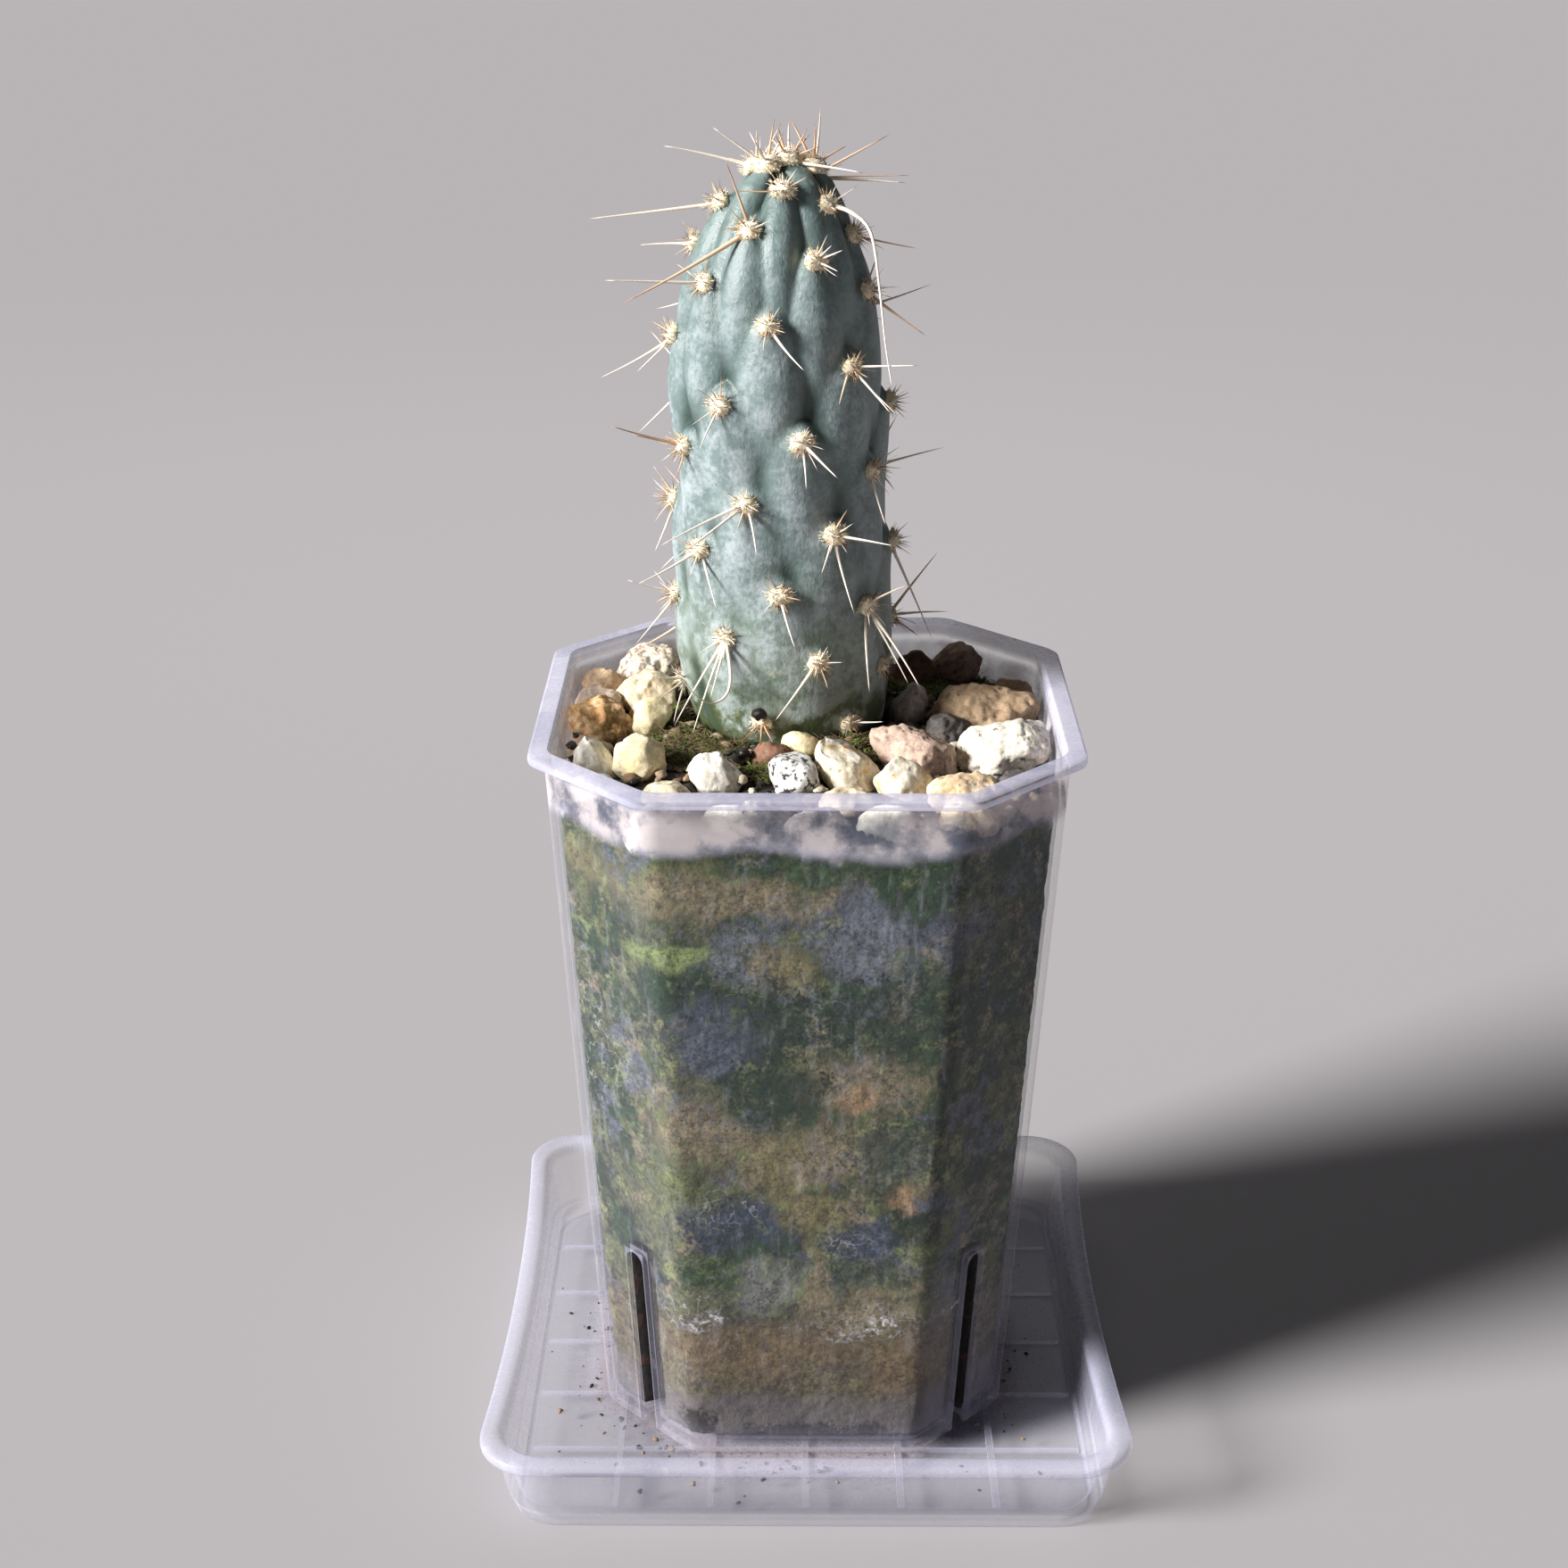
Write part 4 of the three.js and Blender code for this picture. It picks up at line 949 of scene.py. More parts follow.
# Areoles: felted pads of cream wool on the tubercles' upper ends. Glochids, fine barbed bristles
# of brown and gold, stand in each pad, and the spines grow out through it.
WOOL_SIZE = (1.75, 1.5, 1.15)
CROWN_WOOL = 1.3
# The areoles from here down are older and smaller
SMALL_FROM = 44
FIBRES_IN_PAD = 95
GLOCHIDS_IN_PAD = 30


def areole_frame(number):
    """An areole's place on the skin, and its ways across, up and out, as unit vectors."""
    height, turn = areole_spots[number]
    step = 0.8
    low, high = stem_radius(np.array([height - step, height + step]))
    steep = min(3.0, (low - high) / (2 * step))
    out = Vector((math.sin(turn), -math.cos(turn), steep)).normalized()
    across = Vector((math.cos(turn), math.sin(turn), 0))
    up = out.cross(across) * -1
    turn, height = np.array(turn), np.array(height)
    place = Vector(stem_point(skin_radius(turn, height), turn, height))
    return place, across, up, out


class Growth:
    """Hairs, bristles and spines gathered into one mesh, with a tone for each and a run from root to tip."""

    def __init__(self):
        self.points, self.faces, self.tone, self.run = [], [], [], []

    def add_line(self, line, radius, tone, sides=3, taper=0.85):
        """A thorn along a line of points, narrowing to its tip."""
        first = len(self.points)
        side = (line[1] - line[0]).orthogonal().normalized()
        for number, point in enumerate(line[:-1]):
            ahead = (line[number + 1] - point).normalized()
            side = (side - ahead * side.dot(ahead)).normalized()
            over = ahead.cross(side)
            run = number / (len(line) - 1)
            size = radius * (1 - taper * run)
            for corner in range(sides):
                angle = 2 * math.pi * corner / sides
                self.points.append(point + side * (size * math.cos(angle)) + over * (size * math.sin(angle)))
                self.tone.append(tone)
                self.run.append(run)
        self.points.append(line[-1])
        self.tone.append(tone)
        self.run.append(1.0)
        for number in range(len(line) - 2):
            low = first + number * sides
            for corner in range(sides):
                after = (corner + 1) % sides
                self.faces.append((low + corner, low + after, low + sides + after, low + sides + corner))
        last = first + (len(line) - 2) * sides
        tip = len(self.points) - 1
        for corner in range(sides):
            self.faces.append((last + corner, last + (corner + 1) % sides, tip))
        self.faces.append(tuple(range(first + sides - 1, first - 1, -1)))

    def piece(self, name):
        made = mesh_piece(name, np.array([tuple(point) for point in self.points]), self.faces)
        keep_values(made, "tone", self.tone)
        keep_values(made, "run", self.run)
        return made


def add_pad(growth, number, size, draw):
    """A lumpy pad of felted wool, half sunk in the skin."""
    place, across, up, out = areole_frame(number)
    rows, sides = 9, 16
    first = len(growth.points)
    seed = number * 3.1
    for row in range(rows + 1):
        tilt = math.pi * row / rows
        for side in range(sides):
            angle = 2 * math.pi * side / sides
            way = Vector((math.sin(tilt) * math.cos(angle), math.sin(tilt) * math.sin(angle), math.cos(tilt)))
            lump = 1 + 0.24 * noise.fractal(way * 1.9 + Vector((seed, 0, 0)), 0.8, 2.2, 3)
            lump += 0.10 * noise.noise(way * 6 + Vector((0, seed, 0)))
            x, y, z = [way[i] * (lump * size * WOOL_SIZE[i]) for i in range(3)]
            growth.points.append(place + across * x + up * y + out * z)
            growth.tone.append(0.25 + 0.2 * draw.random())
            growth.run.append(0.2 + 0.5 * max(0, way.z))
    for row in range(rows):
        for side in range(sides):
            after = (side + 1) % sides
            low = first + row * sides
            growth.faces.append((low + side, low + sides + side, low + sides + after, low + after))


def pad_way(draw, across, up, out, spread):
    """A way that stands out of a pad, leaning up to spread from its middle."""
    angle = 2 * math.pi * draw.random()
    lean = spread * math.sqrt(draw.random())
    aside = across * math.cos(angle) + up * math.sin(angle)
    return (out * math.cos(lean) + aside * math.sin(lean)).normalized()


def make_wool():
    draw = random.Random(11)
    pads = Growth()
    fibres = Growth()
    for number in areole_spots:
        size = CROWN_WOOL if number < 0 else 0.86 + 0.2 * draw.random()
        if number >= SMALL_FROM:
            size *= 0.85
        add_pad(pads, number, size * 0.9, draw)
        place, across, up, out = areole_frame(number)
        for _ in range(FIBRES_IN_PAD):
            way = pad_way(draw, across, up, out, 1.75)
            reach = Vector([way.dot(axis) * part for axis, part in zip((across, up, out), WOOL_SIZE)]) * size
            root = place + (across * reach.x + up * reach.y + out * reach.z) * 0.82
            curl = Vector([draw.uniform(-1, 1) for _ in range(3)])
            length = 0.35 + 0.55 * draw.random()
            line = [root + way * (length * t) + curl * (0.32 * length * t * t) for t in (0, 0.35, 0.7, 1.0)]
            fibres.add_line(line, 0.055, draw.random(), taper=0.6)
    return pads.piece("areole_pads"), fibres.piece("areole_wool")


def make_glochids():
    draw = random.Random(23)
    bristles = Growth()
    for number, (_, turn) in areole_spots.items():
        place, across, up, out = areole_frame(number)
        dark = 0.75 if math.sin(turn) > 0.55 else 0.3
        for _ in range(GLOCHIDS_IN_PAD):
            way = (pad_way(draw, across, up, out, 1.35) + up * draw.choice((-0.45, 0.25, 0.7))).normalized()
            length = draw.uniform(1.5, 2.6) * (0.8 if number < 0 else 1)
            root = place + way * 0.55
            bend = Vector([draw.uniform(-0.12, 0.12) for _ in range(3)])
            line = [root + way * (length * t) + bend * (length * t * t) for t in (0, 0.5, 1.0)]
            tone = dark if draw.random() < 0.55 else 1 - dark
            bristles.add_line(line, 0.06, tone, taper=0.7)
    return bristles.piece("glochids")


def growth_colour(finish, root, tip, other_root, other_tip, turn_at):
    """Colour from root to tip, for two kinds told apart by tone."""
    tone = finish.kept("tone")
    run = finish.kept("run")
    share = run.rise(turn_at, 1.0)
    first = finish.blend(share, root, tip)
    second = finish.blend(share, other_root, other_tip)
    return finish.blend(tone.rise(0.3, 0.7), first, second)


def wool_material(name, pads):
    material, finish, shader = new_material(name)
    place = finish.place()
    colour = growth_colour(
        finish, (0.86, 0.73, 0.50), (0.96, 0.89, 0.72), (0.90, 0.80, 0.60), (0.97, 0.93, 0.82), 0.1
    )
    rust = finish.cloud(place, 0.8, 4, 0.7).rise(0.58, 0.72, 0, 0.4 if pads else 0.15)
    finish.feed(shader.inputs["Base Color"], finish.blend(rust, colour, (0.52, 0.32, 0.14)))
    finish.feed(shader.inputs["Roughness"], finish.cloud(place, 0.6).rise(0.3, 0.7, 0.85, 1.0))
    finish.feed(shader.inputs["Normal"], finish.bump(finish.cloud(place, 0.3, 3, 0.7), 0.6, 0.2))
    shader.inputs["Sheen Weight"].default_value = 0.3
    return material


def glochid_material():
    material, finish, shader = new_material("glochid_gold")
    colour = growth_colour(
        finish, (0.55, 0.33, 0.12), (0.72, 0.50, 0.24), (0.11, 0.045, 0.02), (0.20, 0.09, 0.04), 0.4
    )
    finish.feed(shader.inputs["Base Color"], colour)
    finish.feed(shader.inputs["Roughness"], finish.cloud(finish.place(), 0.5).rise(0.3, 0.7, 0.35, 0.5))
    return material


pads, wool = make_wool()
place_piece(pads, wool_material("wool_felt", True), "cactus_skin", "cactus")
place_piece(wool, wool_material("wool_fibre", False), "cactus_skin", "cactus")
place_piece(make_glochids(), glochid_material(), "cactus_skin", "cactus")

# Spines: straight stiff needles, cream to pinkish, many with brown tips. The long ones stand where
# the plant has them, and shorter ones fan out of every areole. One long spine arches down.
# Long spines: areole, the tip's place from it in mm, radius at the root, tone from pale to brown
LONG_SPINES = [
    (-5, (2.3, 0, 3.9), 0.20, 0.8), (-4, (-0.9, -1, 3.1), 0.20, 0.5), (-3, (-6.8, -1, 4.7), 0.24, 0.3),
    (-3, (0.9, 0, 5.7), 0.22, 0.7), (-5, (9.3, -5, -0.9), 0.26, 0.0), (-1, (-11.9, -1, 2.7), 0.26, 0.2),
    (0, (-6.8, -1, 0.1), 0.14, 0.9), (1, (12, -2, -0.5), 0.28, 0.3), (1, (12.4, -1, 0.3), 0.18, 0.8),
    (2, (-16.6, -1, -2), 0.30, 0.4), (5, (-15.6, -5, -8.2), 0.36, 0.6), (5, (-2.9, -2, 8.9), 0.24, 0.75),
    (6, (8.2, 1, -2), 0.18, 0.9), (7, (-7.1, 0, -0.3), 0.28, 0.2), (8, (3.3, -3, 1.9), 0.18, 0.0),
    (8, (2.7, -4, -0.6), 0.18, 0.0), (8, (1.9, -2.5, 2.4), 0.16, 0.1), (10, (-12.2, -4, 1.1), 0.28, 0.1),
    (11, (7.5, -2, -5.4), 0.28, 0.6), (13, (4.6, -6, -4.3), 0.26, 0.0), (13, (0.1, -2, 3.3), 0.15, 0.6),
    (15, (-9.5, -1, -5.4), 0.24, 0.3), (15, (-4.8, -1.5, -4.6), 0.22, 0.2), (16, (8.2, -3, 0.9), 0.20, 0.3),
    (16, (-1.7, -4, -4), 0.24, 0.5), (16, (4.9, -5, -4.9), 0.24, 0.1), (16, (5.9, -4, -5.4), 0.22, 0.3),
    (18, (-2.5, -4, -4.8), 0.20, 0.1), (18, (0.3, -2, 4.3), 0.14, 0.9), (21, (4.5, -6, -3.1), 0.28, 0.0),
    (21, (0.5, -5, -4.8), 0.22, 0.1), (23, (-9.1, -4, 3.6), 0.24, 0.9), (23, (-6.4, -3, 2.2), 0.20, 0.8),
    (23, (-1.1, -4, -3.7), 0.18, 0.8), (24, (1.8, -4, -6.5), 0.22, 0.2), (26, (-8.7, -6, -5.2), 0.28, 0.1),
    (26, (-10.7, -5, -4), 0.28, 0.2), (26, (1.4, -5, -5.5), 0.24, 0.0), (28, (-2.7, -1, 4.5), 0.20, 0.3),
    (28, (-2.8, -1, 0.5), 0.18, 0.3), (28, (-2.8, -1, -7.4), 0.24, 0.2), (29, (-1.7, -4, -3.9), 0.22, 0.3),
    (29, (2.6, -5, -9.1), 0.26, 0.1), (29, (7.6, -4, -0.2), 0.24, 0.1), (29, (1.6, -2, 4.1), 0.15, 0.6),
    (31, (-7.8, -4, -3.5), 0.26, 0.1), (31, (2.4, -5, -6.8), 0.24, 0.0), (32, (5.8, -1, -13.7), 0.24, 0.3),
    (34, (2, -5, -5.5), 0.24, 0.0), (34, (-1.5, -2, 3.4), 0.15, 0.6), (36, (-6.3, -2, 2.4), 0.24, 0.2),
    (36, (-5.3, -3, -6.2), 0.24, 0.1), (37, (0.4, -5, -10.5), 0.26, 0.0), (37, (7.2, -4, -10.4), 0.30, 0.1),
    (37, (5.7, -3, -10.2), 0.22, 0.1), (37, (5.2, -3, 3.8), 0.20, 0.5), (39, (-6.6, -6, -10.1), 0.26, 0.0),
    (39, (-4.2, -7, -11), 0.24, 0.0), (39, (-1.9, -6, -6.4), 0.24, 0.0), (42, (-5.6, -5.4, -6), 0.30, 0.0),
    (44, (-3.6, -5.6, 1.9), 0.20, 0.2), (44, (-1.6, -5.6, 3.6), 0.18, 0.3),
    (44, (-3.2, -6.6, -0.6), 0.20, 0.1), (44, (-1.2, -7.6, -3.6), 0.20, 0.2),
    (47, (-0.1, -5.3, -1.2), 0.16, 0.8), (47, (1.6, -5.3, -0.9), 0.15, 0.9),
    (47, (-2.6, -5.3, -0.8), 0.16, 0.7), (50, (4.6, -2.4, 1.1), 0.20, 0.1),
]
# Spines that bend on their way: areole, points on the way, radius at the root, tone
BENT_SPINES = [
    (3, [(2.8, -1.6, -0.6), (5.3, -3, -2.9), (6.4, -5, -9.2), (7.2, -6.5, -16), (8.1, -8, -21.4)], 0.32, 0.3),
    (39, [(0.6, -3.1, -2.6), (0.7, -4.1, -4.7), (0, -5.1, -6.3), (-1.7, -6.1, -6.8), (-3.5, -7.1, -5.5),
          (-5.3, -8.1, -2.9), (-6.7, -8.6, -0.7)], 0.26, 0.0),
]
# Short spines in a fan that the photo shows, beside its long ones, and in one on the back
SEEN_FAN = 5
HIDDEN_FAN = 8
# Lower fans lean up, clear of the stones
FAN_LIFTS_BELOW = 106


def bowed(root, tip, bow, steps=9):
    """A line of points from root to tip that bows aside a little."""
    return [root.lerp(tip, t) + bow * (4 * t * (1 - t)) for t in (step / steps for step in range(steps + 1))]


def bend_between(before, start, end, after, t):
    """A point on a smooth curve through start and end."""
    lead = (end - before) * 0.5
    follow = (after - start) * 0.5
    a = 2 * t ** 3 - 3 * t ** 2 + 1
    return start * a + end * (1 - a) + lead * (t ** 3 - 2 * t ** 2 + t) + follow * (t ** 3 - t ** 2)


def make_spines():
    draw = random.Random(37)
    spines = Growth()
    for number, offset, radius, tone in LONG_SPINES:
        place, _, _, out = areole_frame(number)
        tip = place + Vector(offset)
        bow = Vector([draw.uniform(-1, 1) for _ in range(3)]) * (0.022 * Vector(offset).length)
        spines.add_line(bowed(place - out * 0.3, tip, bow), radius, tone, sides=8)
    for number, offsets, radius, tone in BENT_SPINES:
        place = areole_frame(number)[0]
        bends = [place] + [place + Vector(offset) for offset in offsets]
        line = []
        for i in range(len(bends) - 1):
            before = bends[max(0, i - 1)]
            after = bends[min(len(bends) - 1, i + 2)]
            line += [bend_between(before, bends[i], bends[i + 1], after, t) for t in (0, 0.25, 0.5, 0.75)]
        spines.add_line(line + [bends[-1]], radius, tone, sides=8)
    for number, (height, _) in areole_spots.items():
        place, across, up, out = areole_frame(number)
        seen = number in FRONT_AREOLES
        near_soil = height < FAN_LIFTS_BELOW
        blades = SEEN_FAN if seen else HIDDEN_FAN
        for blade in range(blades):
            angle = 2 * math.pi * (blade + 0.6 * draw.random()) / blades - math.pi / 2
            lean = draw.uniform(0.7, 1.5)
            long_one = not seen and blade % 3 == 0
            length = draw.uniform(7, 13) if long_one else draw.uniform(2.6, 4.6)
            if near_soil or number < 0:
                length *= 0.6
            way = out + across * (lean * math.cos(angle)) + up * (lean * math.sin(angle))
            if near_soil:
                way.z = max(0.4, way.z + 0.7)
            tip = place + way.normalized() * length
            bow = Vector([draw.uniform(-1, 1) for _ in range(3)]) * 0.03 * length
            radius = 0.26 if long_one else 0.13
            spines.add_line(bowed(place, tip, bow, 5), radius, draw.random() ** 1.5, sides=6)
    return spines.piece("spines")


def spine_material():
    material, finish, shader = new_material("spine_horn")
    place = finish.place()
    colour = growth_colour(
        finish, (0.93, 0.85, 0.74), (0.92, 0.78, 0.71), (0.78, 0.50, 0.31), (0.36, 0.15, 0.08), 0.55
    )
    rings = finish.cloud(place, 1.4, 3, 0.6).rise(0.5, 0.68, 0, 0.35)
    finish.feed(shader.inputs["Base Color"], finish.blend(rings, colour, (0.80, 0.56, 0.44)))
    finish.feed(shader.inputs["Roughness"], finish.cloud(place, 0.8).rise(0.3, 0.7, 0.35, 0.5))
    finish.feed(shader.inputs["Normal"], finish.bump(finish.cloud(place, 0.35, 3), 0.3, 0.1))
    return material


place_piece(make_spines(), spine_material(), "cactus_skin", "cactus")

# Dressing stones: loose pebbles of quartz, limestone, granite and basalt, a centimetre or so long,
# tumbled dull and dusty. They lie in the soil's surface, each in its own seat.
STONE_VOXEL = 0.34
STONE_FLATS = 11


def make_stone_face():
    """Weathered stone: a pale and a deep tone in patches, stains, dark specks and pits."""
    tree, finish, given, wanted = shared_group(
        "stone_face",
        {"Place": "Vector", "Pale": "Color", "Deep": "Color", "Stain": "Color", "Speck": "Color",
         "Patch": "Float", "Stained": "Float", "Specks": "Float", "Pits": "Float"},
        {"Color": "Color", "Height": "Float", "Roughness": "Float"},
    )
    place = given["Place"]
    patch = finish.cloud(place, 3.2, 6, 0.62, 0.4)
    fine = finish.cloud(place, 0.7, 5, 0.7)
    deep = patch.rise(0.38, 0.64) * given["Patch"]
    colour = finish.blend(deep, given["Pale"], given["Deep"])
    stain = finish.cloud(place + (0.05, 0.02, 0.01), 2.6, 5, 0.65, 0.6).rise(0.5, 0.66)
    colour = finish.blend(stain * given["Stained"], colour, given["Stain"])
    speck = finish.cloud(place + (0.01, 0.03, 0.07), 0.85, 3, 0.6).rise(0.53, 0.60)
    colour = finish.blend(speck * given["Specks"], colour, given["Speck"])
    pore = finish.cells(place, 0.7).rise(0.2, 0.1) * fine.rise(0.46, 0.56)
    colour = finish.blend(pore * 0.55, colour, given["Speck"])
    pit = finish.cells(place, 1.5).rise(0.30, 0.12)
    rare = finish.cloud(place, 3.0, 3).rise(0.46, 0.6)
    pit = pit * rare * given["Pits"]
    colour = finish.blend(pit * 0.8, colour, (0.05, 0.035, 0.025))
    shade = fine.rise(0.3, 0.7, 0.78, 1.12)
    finish.feed(wanted["Color"], finish.shaded(colour, shade))
    height = fine * 0.5 + pit * -0.8
    finish.feed(wanted["Height"], height + patch * 0.4)
    finish.feed(wanted["Roughness"], fine.rise(0.3, 0.7, 0.72, 0.92))
    return tree


stone_face = make_stone_face()
# Kinds of stone: pale, deep, stain and speck colours, shares of patch, stain, specks and pits, relief in mm
STONE_KINDS = {
    "cream": (
        (0.86, 0.76, 0.58), (0.74, 0.56, 0.34), (0.62, 0.38, 0.16), (0.25, 0.16, 0.09),
        0.6, 0.5, 0.15, 0.4, 0.2,
    ),
    "yellow": (
        (0.90, 0.80, 0.54), (0.80, 0.66, 0.36), (0.74, 0.50, 0.18), (0.34, 0.24, 0.12),
        0.6, 0.4, 0.1, 0.3, 0.12,
    ),
    "white": (
        (0.90, 0.87, 0.80), (0.80, 0.74, 0.62), (0.66, 0.50, 0.30), (0.30, 0.26, 0.22),
        0.5, 0.25, 0.15, 0.5, 0.14,
    ),
    "porous": (
        (0.90, 0.86, 0.76), (0.80, 0.70, 0.54), (0.66, 0.46, 0.24), (0.28, 0.24, 0.20),
        0.5, 0.3, 0.35, 1.0, 0.24,
    ),
    "stained": (
        (0.92, 0.86, 0.72), (0.84, 0.72, 0.50), (0.72, 0.42, 0.10), (0.35, 0.25, 0.15),
        0.5, 0.8, 0.1, 0.4, 0.14,
    ),
    "orange": (
        (0.88, 0.74, 0.54), (0.78, 0.54, 0.30), (0.70, 0.40, 0.14), (0.30, 0.18, 0.10),
        0.7, 0.5, 0.25, 0.5, 0.3,
    ),
    "pink": (
        (0.80, 0.64, 0.52), (0.68, 0.46, 0.36), (0.60, 0.36, 0.20), (0.26, 0.16, 0.12),
        0.7, 0.4, 0.2, 0.5, 0.3,
    ),
    "speckled": (
        (0.86, 0.79, 0.68), (0.70, 0.56, 0.42), (0.52, 0.32, 0.20), (0.22, 0.13, 0.08),
        0.6, 0.4, 0.8, 0.5, 0.32,
    ),
    "granite": (
        (0.84, 0.83, 0.80), (0.66, 0.65, 0.63), (0.58, 0.50, 0.40), (0.05, 0.05, 0.05),
        0.5, 0.1, 1.0, 0.2, 0.12,
    ),
    "tan": (
        (0.70, 0.51, 0.33), (0.52, 0.34, 0.20), (0.36, 0.20, 0.10), (0.14, 0.09, 0.06),
        0.7, 0.4, 0.3, 0.9, 0.22,
    ),
    "amber": (
        (0.68, 0.42, 0.18), (0.40, 0.20, 0.08), (0.84, 0.68, 0.44), (0.12, 0.06, 0.03),
        0.8, 0.45, 0.4, 0.4, 0.6,
    ),
    "banded": (
        (0.60, 0.46, 0.38), (0.36, 0.25, 0.20), (0.66, 0.48, 0.38), (0.12, 0.08, 0.07),
        0.6, 0.4, 0.5, 0.5, 0.25,
    ),
    "brown": (
        (0.46, 0.31, 0.23), (0.28, 0.17, 0.12), (0.56, 0.40, 0.28), (0.07, 0.05, 0.04),
        0.7, 0.4, 0.5, 0.6, 0.25,
    ),
    "dark": (
        (0.13, 0.12, 0.12), (0.055, 0.05, 0.05), (0.20, 0.17, 0.15), (0.02, 0.02, 0.02),
        0.8, 0.3, 0.3, 0.5, 0.3,
    ),
    "rust": (
        (0.30, 0.15, 0.09), (0.15, 0.07, 0.045), (0.36, 0.24, 0.12), (0.06, 0.04, 0.03),
        0.8, 0.4, 0.4, 0.5, 0.25,
    ),
    "grey": (
        (0.66, 0.63, 0.62), (0.46, 0.42, 0.43), (0.46, 0.32, 0.24), (0.10, 0.08, 0.08),
        0.7, 0.3, 0.3, 0.8, 0.2,
    ),
}
# Each stone's kind, then how far its top leans over to +X, how far it rises towards +X, and how much
# narrower it is on top
STONES = {
    "stone_speckled_back": ("speckled", 0.2, 0.1, 0.2), "stone_tan_back": ("tan", 0.1, -0.1, 0.2),
    "stone_pink_left": ("pink", 0, 0, 0.1), "stone_amber_left": ("amber", 0.1, 0, 0.15),
    "stone_cream_top": ("cream", -0.2, 0.25, 0.3), "stone_cream_mid": ("yellow", 0.3, 0.1, 0.1),
    "stone_white_wedge": ("white", -0.25, -0.2, 0.65), "stone_cream_oval": ("yellow", -0.1, 0, 0.1),
    "stone_white_front": ("white", -0.15, -0.1, 0.7), "stone_red_front": ("rust", 0, 0, 0.2),
    "stone_cream_small": ("yellow", 0.1, 0, 0.1), "stone_speckled_front": ("granite", 0.1, 0, 0.3),
    "stone_white_yellow": ("stained", -0.4, -0.15, 0.4), "stone_banded_brown": ("banded", -0.2, -0.3, 0.2),
    "stone_orange_cream": ("stained", -0.2, -0.3, 0.2), "stone_flat_front": ("orange", 0, 0.1, 0),
    "stone_grey_tall": ("grey", 0.1, 0, 0.15), "stone_dark_grey": ("dark", 0, 0, 0.2),
    "stone_big_tan": ("tan", 0, -0.05, 0.35), "stone_big_white": ("porous", 0.2, 0.2, 0.1),
    "stone_dark_edge": ("dark", 0, 0.1, 0), "stone_brown_back": ("brown", 0.1, 0.3, 0.1),
    "stone_olive_back": ("rust", 0, 0, 0.1), "stone_back_left": ("cream", 0, 0.1, 0.2),
    "stone_back_middle": ("speckled", 0, 0, 0.2), "stone_back_pale": ("white", 0, 0, 0.3),
    "stone_left_behind": ("tan", 0, 0, 0.1), "stone_wall_left": ("white", 0, 0, 0.2),
    "stone_wall_front_a": ("white", 0, 0, 0.2), "stone_wall_front_b": ("cream", 0, 0, 0.2),
    "stone_wall_front_c": ("white", 0, 0, 0.1), "stone_wall_front_d": ("grey", 0, 0, 0.2),
    "stone_wall_front_e": ("cream", 0, 0, 0.2), "stone_wall_front_f": ("white", 0, 0, 0.2),
    "stone_wall_front_g": ("cream", 0, 0, 0.1), "stone_right_back": ("tan", 0, 0, 0.2),
}


def stone_material(kind):
    pale, deep, stain, speck, patch, stained, specks, pits, _ = STONE_KINDS[kind]
    material, finish, shader = new_material("stone_" + kind)
    place = finish.place()
    face = finish.group(
        stone_face, Place=place, Pale=pale, Deep=deep, Stain=stain, Speck=speck,
        Patch=patch, Stained=stained, Specks=specks, Pits=pits,
    )
    colour = face["Color"]
    if kind == "banded":
        tilted = place * (0.5, 0.2, 1.0)
        bands = finish.add(
            "TexWave", "Fac", {"bands_direction": "Z"}, Vector=tilted, Scale=160, Distortion=6, Detail=3
        )
        colour = finish.blend(bands * 0.6, colour, (0.60, 0.42, 0.33))
    dust = finish.cloud(place, 1.6, 5, 0.7).rise(0.5, 0.66, 0, 0.3)
    finish.feed(shader.inputs["Base Color"], finish.blend(dust, colour, (0.33, 0.26, 0.18)))
    finish.feed(shader.inputs["Roughness"], face["Roughness"])
    finish.feed(shader.inputs["Normal"], finish.bump(face["Height"], 0.7, 0.4))
    return material


def make_worn_stone(node, number):
    """The stone's own solid with a few broken flats, worn edges, uneven faces and small pits."""
    stone = even_copy(node, node + "_worn", STONE_VOXEL)
    points, _ = read_points(stone)
    draw = random.Random(number + 500)
    kind, lean, slope, taper = STONES[node]
    pitted, relief = STONE_KINDS[kind][7:]
    low, high = points.min(0), points.max(0)
    middle, half = (low + high) / 2, (high - low) / 2
    shape = (points - middle) / half
    shape[:, :2] *= 1 - taper * (shape[:, 2:] + 1) / 2
    shape[:, 0] += lean * shape[:, 2]
    shape[:, 2] += slope * shape[:, 0]
    for _ in range(STONE_FLATS):
        way = np.array(Vector([draw.gauss(0, 1) for _ in range(3)]).normalized())
        reach = shape @ way
        beyond = np.maximum(0, reach - (0.68 + 0.2 * draw.random()) * reach.max())
        shape = shape - way * (0.9 * beyond)[:, None]
    near, far = shape.min(0), shape.max(0)
    write_points(stone, low + (shape - near) / (far - near) * (high - low))
    wear = stone.modifiers.new("wear", "SMOOTH")
    wear.factor = 0.5
    wear.iterations = 3
    settle(stone)
    points, normals = read_points(stone)
    swell = lumps(points, 3.4, 2, number * 2.3)
    grit = lumps(points, 1.2, 5, number * 1.9)
    pit = np.clip(lumps(points, 1.0, 2, number * 5.7) - 0.24, 0, 1)
    push = 0.16 + 0.4 * swell + relief * grit - 0.9 * pitted * pit
    write_points(stone, points + normals * push[:, None])
    return stone


